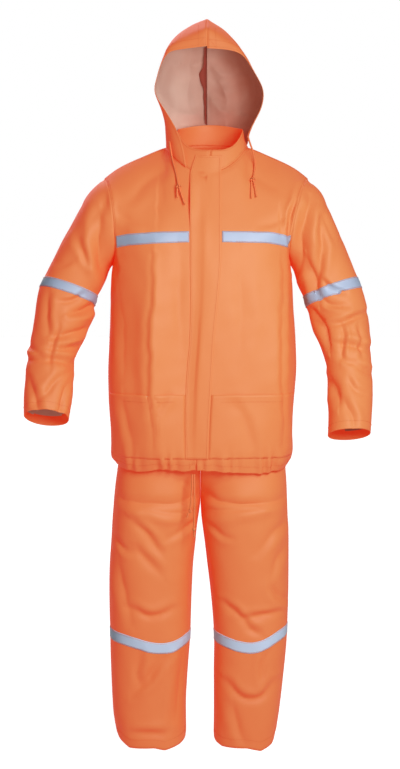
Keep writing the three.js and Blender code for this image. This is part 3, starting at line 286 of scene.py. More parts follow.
# Which creases each piece takes, and whether they lie on its front or its back
CREASED = {
    "jacket_front_right": [("front_right", FRONT)],
    "jacket_front_left": [("front_left", FRONT)],
    "jacket_back": [("back", BACK)],
    "sleeve_right": [("sleeve_right", FRONT), ("sleeve_right_back", BACK), ("sleeve_cap_right", ROUND)],
    "sleeve_left": [("sleeve_left", FRONT), ("sleeve_left_back", BACK), ("sleeve_cap_left", ROUND)],
    "hood_right": [("hood", BACK)],
    "hood_left": [("hood", BACK)],
    "trousers_front_right": [("legs_right", FRONT)],
    "trousers_front_left": [("legs_left", FRONT)],
    "trousers_back_right": [("legs_back", BACK)],
    "trousers_back_left": [("legs_back", BACK)],
}

# How far the free edges hang up or down from the pattern's line: pieces, heights where it starts
# and is full, and (x, rise) steps
EDGE_DROPS = [
    (("jacket_front_right", "jacket_front_left", "jacket_back"), -690, -728,
     [(-205, 8), (-150, 2), (-98, 10), (-50, 4), (-20, 8), (50, 2), (124, -2), (180, 6)]),
    (("trousers_front_right", "trousers_back_right"), -1290, -1353,
     [(-208, 14), (-175, -6), (-118, -4), (-94, -10), (-60, -2), (-46, 4)]),
    (("trousers_front_left", "trousers_back_left"), -1290, -1353,
     [(18, 2), (36, -4), (92, -4), (124, -12), (150, -2), (158, 6)]),
]

# Gathers of the drawn-in hem: pieces, height, reach, depth and mean spacing
GATHERS = [
    (("jacket_front_right", "jacket_front_left", "jacket_back"), -710, 26, 4.2, 27),
]

# Free edges, where a crease runs out over the edge: pieces and the height below which they are free
FREE_BELOW = {
    "jacket_front_right": -705,
    "jacket_front_left": -705,
    "jacket_back": -705,
    "sleeve_right": -560,
    "sleeve_left": -590,
    "trousers_front_right": -1340,
    "trousers_front_left": -1340,
    "trousers_back_right": -1340,
    "trousers_back_left": -1340,
}
SEAM_HOLD = 14
NEVER_FREE = -9999

# Panels whose edges are drawn onto those that they are sewn to: the largest gap that is closed,
# how far into the panel the pull reaches, and the points set along each stretch of edge
SEWN_TO = {
    "collar": ("jacket_back", "jacket_front_right", "jacket_front_left"),
    "sleeve_right": ("jacket_back", "jacket_front_right"),
    "sleeve_left": ("jacket_back", "jacket_front_left"),
}
SEAM_CLOSE = 9
SEAM_CLOSE_REACH = 16
EDGE_STEPS = 6
ARMHOLE_LOW = -300

# Pocket mouths: the height of the edge, how far down it lifts, and (x, width, lift) of each rise
POCKET_MOUTHS = {
    "pocket_right": (-551, 34, [(-160, 34, 3.0), (-85, 18, 4.0)]),
    "pocket_left": (-551, 34, [(70, 30, 3.5), (130, 26, 2.5)]),
}

POCKET_MOUTH_BAND = 6
POCKET_BED = 12
POCKET_SINK = 0.8

# Rounds of evening for the flap, and where its free edge gapes: x of the edge, width,
# height, reach and lift
FLAP_EASE = 45
FLAP_GAPE = (-38, 26, -118, 44, 11)

# How the tapes hang from a straight line: (x, drop) steps, in millimetres, and the steps' spread
SAG_SPREAD = (-20, -10, 0, 10, 20)
TAPE_SAGS = {
    "tape_chest_right": [(-214, -16), (-196, -9), (-180, -7), (-40, 0)],
    "tape_chest_left": [(30, 0), (150, -2), (170, -8), (200, -14)],
    "tape_leg_right": [(-208, 10), (-165, 1), (-118, -13), (-78, -13), (-56, -4), (-34, 9)],
    "tape_leg_left": [(18, 6), (58, -5), (86, -12), (118, -12), (150, 4), (184, 22)],
}

# Turned hems show the outer colour inside: a point on the plane, its direction, and the pieces
TURNED_HEMS = [
    ((0, 0, -706), (0, 0, -1), ("jacket_front_right", "jacket_front_left", "jacket_back")),
    ((0, 0, -1330), (0, 0, -1), ("trousers_front_right", "trousers_front_left",
                                 "trousers_back_right", "trousers_back_left")),
    ((-357, -103, -583), (0, -0.4, -1), ("sleeve_right",)),
    ((318, -103, -617), (0, -0.4, -1), ("sleeve_left",)),
    ((0, 0, -75), (0, 0, 1), ("jacket_front_right", "jacket_front_left", "jacket_back")),
    ((0, -62, 0), (0, -1, 0), ("hood_right", "hood_left")),
]

# Rows of stitches: piece, inset from its edge, and the boxes of the edge that is sewn
ANY = (-999, 999)
ALL = (ANY, ANY, (-1999, 999))
ABOVE_HEM = (-704, 99)
HEM = (-740, -700)
MOUTH = (-575, -540)
LEG_SEAM = (-1338, -720)
LEG_HEM = (-1999, -1318)
HOOD_EDGE = (ANY, (-999, -30), (20, 999))
STITCHES = {
    "stitch_front_right": ("jacket_front_right", 4.5, [((-999, -60), ANY, ABOVE_HEM)]),
    "stitch_front_left": ("jacket_front_left", 4.5, [((50, 999), ANY, ABOVE_HEM)]),
    "stitch_hem_right": ("jacket_front_right", 16, [((-999, -24), ANY, HEM)]),
    "stitch_hem_left": ("jacket_front_left", 16, [((-8, 999), ANY, HEM)]),
    "stitch_hem_back": ("jacket_back", 16, [(ANY, ANY, HEM)]),
    "stitch_back": ("jacket_back", 4.5, [(ANY, ANY, ABOVE_HEM)]),
    "stitch_flap": ("storm_flap", 4, [ALL]),
    "stitch_mouth_right": ("pocket_right", 16, [((-192, -66), ANY, MOUTH)]),
    "stitch_mouth_left": ("pocket_left", 16, [((30, 176), ANY, MOUTH)]),
    "stitch_collar": ("collar", 4, [ALL]),
    "stitch_cuff_right": ("sleeve_right", 18, [(ANY, ANY, (-999, -540))]),
    "stitch_cuff_left": ("sleeve_left", 18, [(ANY, ANY, (-999, -570))]),
    "stitch_hood_right": ("hood_right", 4, [ALL]),
    "stitch_hood_left": ("hood_left", 4, [ALL]),
    "stitch_channel_right": ("hood_right", 20, [HOOD_EDGE]),
    "stitch_channel_left": ("hood_left", 20, [HOOD_EDGE]),
    "stitch_chest_right": ("tape_chest_right", 2, [ALL]),
    "stitch_chest_left": ("tape_chest_left", 2, [ALL]),
    "stitch_tape_back": ("tape_back", 2, [ALL]),
    "stitch_upper_right": ("tape_sleeve_right", 2, [ALL]),
    "stitch_upper_left": ("tape_sleeve_left", 2, [ALL]),
    "stitch_shin_right": ("tape_leg_right", 2, [ALL]),
    "stitch_shin_left": ("tape_leg_left", 2, [ALL]),
    "stitch_leg_right": ("trousers_front_right", 4, [(ANY, ANY, LEG_SEAM)]),
    "stitch_leg_left": ("trousers_front_left", 4, [(ANY, ANY, LEG_SEAM)]),
    "stitch_leg_hem_right": ("trousers_front_right", 20, [(ANY, ANY, LEG_HEM)]),
    "stitch_leg_hem_left": ("trousers_front_left", 20, [(ANY, ANY, LEG_HEM)]),
    "stitch_back_hem_right": ("trousers_back_right", 20, [(ANY, ANY, LEG_HEM)]),
    "stitch_back_hem_left": ("trousers_back_left", 20, [(ANY, ANY, LEG_HEM)]),
}

# The centre seam's turned edges inside the hood: how far they stand up, the heights that they
# span, and (height, lean to the right side) steps
SEAM_ALLOWANCE = 8
SEAM_ALLOWANCE_SPAN = (66, 252)
SEAM_ALLOWANCE_LEAN = [
    (66, 2), (90, 4), (112, 3), (130, 5), (150, 6), (172, 15), (188, 17), (204, 8), (252, 4),
]
CROWN_REACH = 26

# Eyelet of the right hood cord: place, turns about X and Z, radius and thickness
EYELET = ((-81.6, -36.6, 14), (80, -28), 3.4, 0.8)

# Pieces cut double, so that the outer colour shows inside too
ORANGE_INSIDE = ("collar", "storm_flap", "waistband")

# Free drawcords: the route from where each leaves the cloth, in millimetres
CORD_ROUTES = {
    "hood_cord_left": [
        (94.6, -17.9, 30.1), (96.3, -22.6, 24), (99.6, -26.6, 13), (103.8, -29, 1),
        (107.8, -30.8, -12), (110.3, -32.2, -24), (110.6, -34.6, -35), (109.4, -40.4, -47),
        (107.4, -48.6, -58), (105.2, -57.6, -67.4),
    ],
    "hood_tail_left_a": [
        (101.8, -64.9, -75.9), (101, -70.6, -88), (100.3, -78.4, -101), (100, -86.8, -114),
    ],
    "hood_tail_left_b": [
        (106.7, -64.9, -75.9), (108.6, -70.2, -87), (110.6, -76.4, -99), (111.6, -83.4, -111),
    ],
    "hood_cord_right": [
        (-81.8, -39, 14.4), (-82.2, -43, 13.4), (-81.8, -46.6, 8.6), (-80.6, -47.8, 1),
        (-79, -46.6, -9), (-77, -46.4, -20), (-74.6, -51, -31), (-72, -57.4, -41),
        (-69, -65.4, -53), (-66.6, -72.4, -63), (-64.4, -79.8, -74), (-62.7, -87.4, -84.4),
    ],
    "hood_tail_right_a": [
        (-59.5, -93.6, -93.5), (-56, -96.6, -104), (-52, -101, -117), (-48, -107, -129),
    ],
    "hood_tail_right_b": [(-64.5, -93.6, -93.5), (-65, -96.4, -103), (-65, -99.4, -113)],
    "hem_cord_short": [
        (-31.2, -116, -728.5), (-31.2, -116.2, -745), (-31.8, -116.6, -765), (-33.4, -117, -785),
        (-35, -117.2, -804.6),
    ],
    "hem_tail_short": [(-39, -117.6, -814.2), (-41.4, -118, -820), (-42.2, -118, -826)],
    "hem_cord_long": [
        (-26.4, -116, -728.5), (-26.3, -116.2, -750), (-26, -116.8, -775), (-25.8, -117, -800),
        (-26.4, -117.2, -825), (-27, -117.2, -846.6),
    ],
    "hem_tail_long": [(-27, -117.2, -856.7), (-26.8, -117.2, -863), (-26.4, -117.2, -869)],
}
KNOTS = {
    "hood_knot_left": ((104.3, -61.4, -71.4), 14, 11),
    "hood_knot_right": ((-62, -90.9, -89), 14, 11),
    "hem_knot": ((-35.4, -117.4, -809.9), 9.6, 9.4),
}
BEAD = ("hem_bead", (-27, -117.2, -851.6), 8, 9)
KNOT_CORD = 3.4
KNOT_STEPS = 28
KNOT_DEPTH_INSET = 2.4
CORD_STEPS = 10
CORD_ROUNDING = 4
ROUND_SEGMENTS = 32
ROUND_RINGS = 16
EYELET_SIDES = 10

# Which pieces hang on each cord, its far end and how it lies
CORD_FACTS = {
    "hood_cord_left": ("knot", "loose", ("hood_knot_left",)),
    "hood_tail_left_a": ("bare", "loose", ()),
    "hood_tail_left_b": ("bare", "loose", ()),
    "hood_cord_right": ("knot", "loose", ("hood_knot_right", "hood_tail_right_b")),
    "hood_tail_right_a": ("bare", "loose", ()),
    "hem_cord_short": ("knot", "hanging", ("hem_knot", "hem_tail_short")),
    "hem_cord_long": ("knot", "hanging", ("hem_bead", "hem_tail_long")),
}

# Tones of each finish, and how large their slow variation is
CLOTH_BASE = (0.195, 0.20, 0.065)
CLOTH_TONES = ((0.185, 0.19, 0.060), (0.205, 0.212, 0.070))
INSIDE_BASE = (0.90, 0.66, 0.55)
TAPE_TONES = ((0.30, 0.36, 0.49), (0.35, 0.41, 0.54))
LEG_TAPE_TONES = ((0.45, 0.53, 0.68), (0.52, 0.60, 0.76))
CORD_COLOUR = (0.72, 0.17, 0.05)
THREAD_COLOUR = (0.20, 0.15, 0.045)
# painted shade: the hood's turned seam edges in the dark red of orange cloth in shade
TURNED_EDGE_SHADE_COLOUR = (0.30, 0.06, 0.04)
FLOOR_COLOUR = (0.6, 0.6, 0.6)
TONE_DETAIL = 3.0
CLOTH_TONE_SCALE = 6
# the inner face's slow variation is painted shade
INSIDE_TONE_SCALE = 9
TAPE_TONE_SCALE = 14

# Fine relief: scale and detail of the pattern, then strength and distance of its bump
CLOTH_GRAIN = (260.0, 4.0, 0.12, 0.0006)
INSIDE_WEAVE = (700.0, 2.0, 0.15, 0.0004)

# Fine cells: scale of the pattern, then strength and distance of its bump
TAPE_BEADS = (900.0, 0.15, 0.0003)
CORD_BRAID = (900.0, 0.6, 0.0006)

# Painted light: an even red glow of the orange cloth and its thread, the same in shade as in light, that
# keeps their shaded sides red
THREAD_PAINTED_GLOW = (0.44, 0.002, 0.001)
CLOTH_PAINTED_GLOW = (0.565, 0.004, 0.001)

# Painted shade on the cloth's inner face: a pale tone and a shaded tone mixed in slow blotches, with a
# drift to the shaded tone towards +X, the wearer's left
INSIDE_SHADE_TONE = (0.36, 0.14, 0.09)
INSIDE_PALE = (0.55, 0.44, 0.36)
INSIDE_SHADE_DRIFT = 5.0

# Painted light: an even glow of the inner face that stands in for light coming through the coated cloth to
# its inside
THROUGH_LIGHT = (0.09, 0.02, 0.012)

# Stage, in metres
FLOOR_Z = -1.46
FLOOR_SIZE = 60
FLOOR_GLOW = 0.78
AIM = (0, 0, -0.6)
SUNS = (
    ("key", (1.7, -2.9, 1.9), 0.95, 9),
    ("rear", (-1.0, 3.5, 1.8), 1.3, 50),
)
CHEST_LIGHT = ((0.5, -1.55, -0.08), (-0.02, 0.0, -0.42), 0.5, 22)
WORLD_LIGHT = 0.15
WORLD_SHOWN = 1.0
CAMERA_AT = (-0.014, -3.5, -0.31)
CAMERA_PITCH_DEG = 1.85
CAMERA_LENS = 71.45
CAMERA_SHIFT = -0.064


class SuitLooks(bpy.types.PropertyGroup):
    """Driving sizes of the suit's looks."""
    cloth_thickness: bpy.props.FloatProperty(
        name="Cloth thickness", description="Thickness of the coated cloth in millimetres",
        default=CLOTH_THICKNESS, min=0.2, max=1.5)
    crease_depth: bpy.props.FloatProperty(
        name="Crease depth", description="Scale of the depth of all creases",
        default=1.3, min=0.0, max=2.0, subtype="FACTOR")
    unevenness: bpy.props.FloatProperty(
        name="Unevenness", description="Height of the cloth's slow waves in millimetres",
        default=1.6, min=0.0, max=4.0)
    stitch_length: bpy.props.FloatProperty(
        name="Stitch length", description="Length of one stitch in millimetres",
        default=STITCH_LENGTH, min=1.0, max=6.0)


def looks():
    """The scene's values for the suit."""
    return bpy.context.scene.suit_looks


# Selecting and modes

def pick(obj):
    """Makes obj the only selected and the active object."""
    bpy.ops.object.select_all(action="DESELECT")
    obj.select_set(True)
    bpy.context.view_layer.objects.active = obj


def edit(obj, select="SELECT"):
    """Enters edit mode on obj with all or nothing selected."""
    pick(obj)
    bpy.ops.object.mode_set(mode="EDIT")
    bpy.ops.mesh.select_all(action=select)


def leave_edit():
    """Returns to object mode."""
    bpy.ops.object.mode_set(mode="OBJECT")


def smooth(obj):
    """Shades all faces smooth."""
    pick(obj)
    bpy.ops.object.shade_smooth()


def apply_modifier(obj, modifier):
    """Applies one modifier of obj."""
    pick(obj)
    bpy.ops.object.modifier_apply(modifier=modifier.name)


# Mesh arrays

def positions(mesh):
    """The mesh's vertices as an array."""
    found = np.empty(len(mesh.vertices) * 3)
    mesh.vertices.foreach_get("co", found)
    return found.reshape(-1, 3)


def vertex_normals(mesh):
    """The mesh's vertex normals as an array."""
    found = np.empty(len(mesh.vertices) * 3)
    mesh.vertices.foreach_get("normal", found)
    return found.reshape(-1, 3)


def set_positions(mesh, points):
    """Moves the mesh's vertices."""
    mesh.vertices.foreach_set("co", points.astype(np.float32).ravel())
    mesh.update()


# Materials

def new_material(name, colour, roughness):
    """A principled material with its node tree and shader."""
    material = bpy.data.materials.new(name)
    material.use_nodes = True
    shader = material.node_tree.nodes["Principled BSDF"]
    shader.inputs["Base Color"].default_value = (*colour, 1)
    shader.inputs["Roughness"].default_value = roughness
    material.diffuse_color = (*colour, 1)
    return material, material.node_tree, shader


def add_node(tree, kind, **values):
    """A node with its inputs set by name."""
    node = tree.nodes.new(kind)
    for key, value in values.items():
        node.inputs[key.replace("_", " ")].default_value = value
    return node


def object_coordinates(tree):
    """The piece's own coordinates."""
    return tree.nodes.new("ShaderNodeTexCoord").outputs["Object"]


def add_bump(tree, shader, height, strength, distance):
    """Bump from a height socket into the shader's normal."""
    bump = add_node(tree, "ShaderNodeBump", Strength=strength, Distance=distance)
    tree.links.new(height, bump.inputs["Height"])
    tree.links.new(bump.outputs["Normal"], shader.inputs["Normal"])


def add_grain(tree, shader, vector, grain):
    """Fine cloudy relief."""
    scale, detail, strength, distance = grain
    noise = add_node(tree, "ShaderNodeTexNoise", Scale=scale, Detail=detail)
    tree.links.new(vector, noise.inputs["Vector"])
    add_bump(tree, shader, noise.outputs["Fac"], strength, distance)


def add_cells(tree, shader, vector, cells):
    """Fine relief of small cells."""
    scale, strength, distance = cells
    pattern = add_node(tree, "ShaderNodeTexVoronoi", Scale=scale)
    tree.links.new(vector, pattern.inputs["Vector"])
    add_bump(tree, shader, pattern.outputs["Distance"], strength, distance)


def set_glow(shader, colour):
    """Painted light: an even glow, the same in shade as in light."""
    shader.inputs["Emission Color"].default_value = (*colour, 1)
    shader.inputs["Emission Strength"].default_value = 1.0


def vary_colour(tree, shader, vector, first, second, scale, shift=0.0):
    """Slow variation between two colours, with a shift to the second one along X; on the inner face the
    second colour and the shift are painted shade.
    """
    noise = add_node(tree, "ShaderNodeTexNoise", Scale=scale, Detail=TONE_DETAIL)
    tree.links.new(vector, noise.inputs["Vector"])
    place = tree.nodes.new("ShaderNodeSeparateXYZ")
    tree.links.new(vector, place.inputs["Vector"])
    drift = tree.nodes.new("ShaderNodeMath")
    drift.operation = "MULTIPLY_ADD"
    drift.use_clamp = True
    drift.inputs[1].default_value = shift
    tree.links.new(place.outputs["X"], drift.inputs[0])
    tree.links.new(noise.outputs["Fac"], drift.inputs[2])
    mix = tree.nodes.new("ShaderNodeMix")
    mix.data_type = "RGBA"
    mix.inputs["A"].default_value = (*first, 1)
    mix.inputs["B"].default_value = (*second, 1)
    tree.links.new(drift.outputs["Value"], mix.inputs["Factor"])
    tree.links.new(mix.outputs["Result"], shader.inputs["Base Color"])


def cloth_outer():
    """Coated orange cloth, outer face."""
    material, tree, shader = new_material("coated_orange", CLOTH_BASE, 0.55)
    shader.inputs["Specular IOR Level"].default_value = 0.25
    # painted light: an even red glow that keeps the shaded sides red
    set_glow(shader, CLOTH_PAINTED_GLOW)
    vector = object_coordinates(tree)
    vary_colour(tree, shader, vector, *CLOTH_TONES, CLOTH_TONE_SCALE)
    add_grain(tree, shader, vector, CLOTH_GRAIN)
    return material


def cloth_inner():
    """Pale inner face of the coated cloth, with painted shade in slow blotches and towards +X."""
    material, tree, shader = new_material("pale_inside", INSIDE_BASE, 0.75)
    shader.inputs["Specular IOR Level"].default_value = 0.2
    # painted light: an even glow for the light that comes through the cloth
    set_glow(shader, THROUGH_LIGHT)
    vector = object_coordinates(tree)
    # painted shade: blotches of the shaded tone, more of it towards +X
    vary_colour(tree, shader, vector, INSIDE_PALE, INSIDE_SHADE_TONE, INSIDE_TONE_SCALE, INSIDE_SHADE_DRIFT)
    add_grain(tree, shader, vector, INSIDE_WEAVE)
    return material


def tape_material(name, dark, light):
    """Silver retroreflective tape, between two near tones."""
    middle = tuple((a + b) / 2 for a, b in zip(dark, light))
    material, tree, shader = new_material(name, middle, 0.5)
    shader.inputs["Specular IOR Level"].default_value = 0.5
    vector = object_coordinates(tree)
    vary_colour(tree, shader, vector, dark, light, TAPE_TONE_SCALE)
    add_cells(tree, shader, vector, TAPE_BEADS)
    return material


def jacket_tape():
    """The jacket's tape."""
    return tape_material("silver_tape", *TAPE_TONES)


def leg_tape():
    """The legs' tape, which gives back more light."""
    return tape_material("silver_tape_legs", *LEG_TAPE_TONES)


def cord_material():
    """Orange braided cord."""
    material, tree, shader = new_material("braided_cord", CORD_COLOUR, 0.7)
    add_cells(tree, shader, object_coordinates(tree), CORD_BRAID)
    return material


def thread_material():
    """Sewing thread, a little darker than the cloth."""
    material, _, shader = new_material("thread", THREAD_COLOUR, 0.6)
    shader.inputs["Specular IOR Level"].default_value = 0.2
    # painted light: the same even red glow as the cloth's
    set_glow(shader, THREAD_PAINTED_GLOW)
    return material


def seam_material():
    """Turned seam edges inside the hood, in a dark red that paints the orange cloth in shade."""
    material, _, shader = new_material("turned_edge", TURNED_EDGE_SHADE_COLOUR, 0.8)
    shader.inputs["Specular IOR Level"].default_value = 0.1
    return material


def stage_material():
    """Plain pale floor."""
    material, tree, shader = new_material("pale_floor", FLOOR_COLOUR, 0.9)
    shader.inputs["Emission Color"].default_value = (1, 1, 1, 1)
    rays = tree.nodes.new("ShaderNodeLightPath")
    glow = tree.nodes.new("ShaderNodeMath")
    glow.operation = "MULTIPLY"
    glow.inputs[1].default_value = FLOOR_GLOW
    tree.links.new(rays.outputs["Is Camera Ray"], glow.inputs[0])
    tree.links.new(glow.outputs["Value"], shader.inputs["Emission Strength"])
    return material


def material(name, make):
    """The material of that name, made once."""
    return bpy.data.materials.get(name) or make()


# Cloth forms

def copy_node(name):
    """A merged copy of a solid's mesh, with its normals made consistent, at the origin."""
    obj = bpy.data.objects.new("looks_" + name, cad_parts[name].data.copy())
    bpy.context.scene.collection.objects.link(obj)
    obj.data.materials.clear()
    edit(obj)
    bpy.ops.mesh.remove_doubles(threshold=MERGE_DISTANCE * MM)
    bpy.ops.mesh.normals_make_consistent(inside=False)
    leave_edit()
    return obj


def short_edged(mesh, limit):
    """Which faces have an edge as short as the wall is thick: those of the rim."""
    points = positions(mesh)
    flags = []
    for face in mesh.polygons:
        corners = points[list(face.vertices)]
        edges = np.linalg.norm(corners - np.roll(corners, 1, axis=0), axis=1)
        flags.append(edges.min() < limit * MM)
    return np.array(flags)


def islands(mesh):
    """A number for each face's connected group."""
    parent = list(range(len(mesh.vertices)))

    def root(v):
        while parent[v] != v:
            parent[v] = parent[parent[v]]
            v = parent[v]
        return v

    for face in mesh.polygons:
        first = root(face.vertices[0])
        for v in face.vertices[1:]:
            parent[root(v)] = first
    return np.array([root(face.vertices[0]) for face in mesh.polygons])


def outwardness(mesh, group, groups, tube):
    """How far a group of faces looks away from the piece's axis, weighted by area."""
    chosen = np.flatnonzero(groups == group)
    centres = np.array([mesh.polygons[int(k)].center for k in chosen])
    normals = np.array([mesh.polygons[int(k)].normal for k in chosen])
    areas = np.array([mesh.polygons[int(k)].area for k in chosen])
    axis = centres.mean(0) if tube else np.array([0, 0, 0])
    away = (centres - axis) * np.array([1, 1, 0])
    return float((areas * (normals * away).sum(1)).sum())


def delete_faces(obj, flags):
    """Deletes the flagged faces."""
    edit(obj, "DESELECT")
    leave_edit()
    obj.data.polygons.foreach_set("select", flags)
    bpy.ops.object.mode_set(mode="EDIT")
    bpy.ops.mesh.select_mode(type="FACE")
    bpy.ops.mesh.delete(type="FACE")
    leave_edit()


def outer_skin(obj, tube, rim_edge=RIM_EDGE):
    """Leaves only the skin that looks outwards."""
    delete_faces(obj, short_edged(obj.data, rim_edge))
    groups = islands(obj.data)
    names = sorted(set(groups.tolist()), key=lambda g: -np.count_nonzero(groups == g))[:2]
    best = max(names, key=lambda g: outwardness(obj.data, g, groups, tube))
    delete_faces(obj, groups != best)
    edit(obj)
    bpy.ops.mesh.tris_convert_to_quads(face_threshold=math.radians(QUAD_FACE_DEG),
                                       shape_threshold=math.radians(QUAD_SHAPE_DEG))
    leave_edit()


def pin_armhole(obj):
    """Keeps the sleeve's edge pointed at the shoulder and the underarm, as the panels' corners are."""
    points = positions(obj.data)
    upper = [v for loop in boundary_loops(obj.data) for v in loop if points[v, 2] > ARMHOLE_LOW * MM]
    ends = {max(upper, key=lambda v: points[v, 2]), min(upper, key=lambda v: points[v, 2])}
    edit(obj, "DESELECT")
    leave_edit()
    for v in ends:
        obj.data.vertices[v].select = True
    bpy.ops.object.mode_set(mode="EDIT")
    bpy.ops.mesh.select_mode(type="VERT")
    bpy.ops.transform.vert_crease(value=1)
    leave_edit()


def subdivide(obj, levels):
    """Applies a smooth subdivision that keeps the piece's corners."""
    modifier = obj.modifiers.new("subdivision", "SUBSURF")
    modifier.levels = levels
    modifier.render_levels = levels
    modifier.boundary_smooth = "PRESERVE_CORNERS"
    apply_modifier(obj, modifier)


def slow_waves(points, size, seed):
    """Smooth uneven waves between -1 and 1 at each point."""
    rng = np.random.default_rng(seed)
    total = np.zeros(len(points))
    for _ in range(WAVE_COUNT):
        direction = rng.normal(size=3)
        direction /= np.linalg.norm(direction)
        wave = 2 * math.pi / (size * MM * rng.uniform(*WAVE_SPREAD))
        total += np.sin(points @ direction * wave + rng.uniform(0, 2 * math.pi))
    return total / WAVE_SUM


def rounded(path):
    """A path with its corners rounded by corner cutting."""
    kept = 1 - CORNER_CUT
    for _ in range(CORNER_ROUNDS):
        cut = [path[0]]
        for a, b in zip(path[:-1], path[1:]):
            cut += [a * kept + b * CORNER_CUT, a * CORNER_CUT + b * kept]
        path = np.array([*cut, path[-1]])
    return path


def crease_offset(points, facing, crease, waviness):
    """Height of one crease at each point: a soft trough with a ridge on one side."""
    path, width, depth, raised = crease
    path = rounded(np.array(path) * MM)
    width = width * MM
    flat = points[:, [0, 2]] + waviness
    lengths = np.linalg.norm(np.diff(path, axis=0), axis=1)
    before = np.concatenate([[0], np.cumsum(lengths)])
    best = np.full(len(points), 1e9)
    side = np.zeros(len(points))
    along = np.zeros(len(points))
    for k in range(len(path) - 1):
        step = path[k + 1] - path[k]
        share = np.clip((flat - path[k]) @ step / (step @ step), 0, 1)
        away = flat - (path[k] + share[:, None] * step)
        distance = np.linalg.norm(away, axis=1)
        nearer = distance < best
        best[nearer] = distance[nearer]
        cross = step[0] * away[:, 1] - step[1] * away[:, 0]
        side[nearer] = np.sign(cross[nearer])
        along[nearer] = (before[k] + share * lengths[k])[nearer] / before[-1]
    taper = np.sin(np.clip(CREASE_START + CREASE_SPAN * along, 0, 1) * math.pi) ** CREASE_END_POWER
    signed = best * side * raised
    core = np.exp(-best / (TROUGH_CORE * width))
    trough = -0.5 * core - 0.5 * np.exp(-(best / (TROUGH_SPREAD * width)) ** 2)
    ridge = RIDGE_RISE * np.exp(-((signed - RIDGE_PLACE * width) / (RIDGE_SPREAD * width)) ** 2)
    return depth * MM * taper * (trough + ridge) * facing


def boundary_loops(mesh):
    """The open edges of a skin as ordered lists of vertex numbers."""
    uses = {}
    for face in mesh.polygons:
        for key in face.edge_keys:
            uses[key] = uses.get(key, 0) + 1
    neighbours = {}
    for (a, b), count in uses.items():
        if count == 1:
            neighbours.setdefault(a, []).append(b)
            neighbours.setdefault(b, []).append(a)
    loops = []
    left = set(neighbours)
    while left:
        start = min(left)
        loop = [start]
        left.discard(start)
        here = start
        while True:
            ahead = [v for v in neighbours[here] if v in left]
            if not ahead:
                break
            here = ahead[0]
            left.discard(here)
            loop.append(here)
        loops.append(loop)
    return loops


def seam_hold(mesh, points, name):
    """0 at the sewn edges of a skin and 1 away from them, so that seams stay closed."""
    free = FREE_BELOW.get(name, NEVER_FREE) * MM
    sewn = [v for loop in boundary_loops(mesh) for v in loop if points[v, 2] > free]
    if not sewn:
        return np.ones(len(points))
    tree = KDTree(len(sewn))
    for k, v in enumerate(sewn):
        tree.insert(points[v], k)
    tree.balance()
    away = np.array([tree.find(point)[2] for point in points]) / (SEAM_HOLD * MM)
    share = np.clip(away, 0, 1)
    return share * share * (3 - 2 * share)


def gather_offset(points, gather):
    """Height of the small uneven folds of a drawn-in hem."""
    _, height, reach, depth, spacing = gather
    bands = np.exp(-((points[:, 2] - height * MM) / (reach * MM)) ** 2)
    turn = points[:, 0] / (spacing * MM) * 2 * math.pi
    drift, drift_rate, drift_start = GATHER_DRIFT
    mean, swell, swell_rate = GATHER_SWELL
    folds = np.sin(turn + drift * np.sin(turn * drift_rate + drift_start))
    folds = folds * (mean + swell * np.sin(turn * swell_rate))
    return depth * MM * bands * folds


def add_creases(obj, name):
    """Moves the skin by its creases, gathers and slow waves."""
    points = positions(obj.data)
    normals = vertex_normals(obj.data)
    waviness = np.stack([slow_waves(points, *wave) for wave in CREASE_WAVER], axis=1)
    waviness = waviness * CREASE_WAVER_REACH * MM
    offset = np.zeros(len(points))
    for table, look in CREASED.get(name, []):
        facing = np.clip(FACING_BASE - look * normals[:, 1] * FACING_GAIN, 0, 1) if look else 1
        for crease in CREASES[table]:
            offset += crease_offset(points, facing, crease, waviness) * looks().crease_depth
    for gather in GATHERS:
        if name in gather[0]:
            offset += gather_offset(points, gather)
    for size, seed, share in SLOW_WAVES:
        offset += slow_waves(points, size, seed) * looks().unevenness * share * MM
    offset *= seam_hold(obj.data, points, name)
    moved = points + normals * offset[:, None]
    for pieces, start, full, steps in EDGE_DROPS:
        if name in pieces:
            share = np.clip((points[:, 2] / MM - start) / (full - start), 0, 1)
            moved[:, 2] += share * np.interp(points[:, 0] / MM, *zip(*steps)) * MM
    set_positions(obj.data, moved)


def thicken(obj, thickness, lined):
    """Gives the skin its thickness, inwards, with the second material inside if it is lined."""
    modifier = obj.modifiers.new("thickness", "SOLIDIFY")
    modifier.thickness = thickness * MM
    modifier.offset = -1
    modifier.material_offset = 1 if lined else 0
    apply_modifier(obj, modifier)


def turn_hems(obj, name):
    """Gives the inside of a turned hem the outer colour."""
    for point, direction, pieces in TURNED_HEMS:
        if name not in pieces:
            continue
        plane = Vector(point) * MM
        way = Vector(direction).normalized()
        for face in obj.data.polygons:
            if face.material_index == 1 and (face.center - plane).dot(way) > 0:
                face.material_index = 0


def finish_piece(obj, name, node_names):
    """Names a piece and puts it on the body."""
    obj.name = name
    smooth(obj)
    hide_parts(*node_names)
    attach(obj, "root")


def make_shell(name, levels):
    """One cloth panel with its creases and both faces."""
    obj = copy_node(name)
    rim_edge = WAISTBAND_RIM_EDGE if name == "waistband" else RIM_EDGE
    outer_skin(obj, name.startswith(("sleeve", "waistband", "collar")), rim_edge)
    if name.startswith("sleeve"):
        pin_armhole(obj)
    subdivide(obj, levels)
    add_creases(obj, name)
    obj.data.materials.append(material("coated_orange", cloth_outer))
    obj.data.materials.append(material("pale_inside", cloth_inner))
    return obj


def carrier(supports):
    """One joined copy of the shells that carry a layer."""
    bpy.ops.object.select_all(action="DESELECT")
    for support in supports:
        bpy.data.objects["looks_" + support].select_set(True)
    bpy.context.view_layer.objects.active = bpy.data.objects["looks_" + supports[0]]
    bpy.ops.object.duplicate()
    if len(supports) > 1:
        bpy.ops.object.join()
    return bpy.context.object


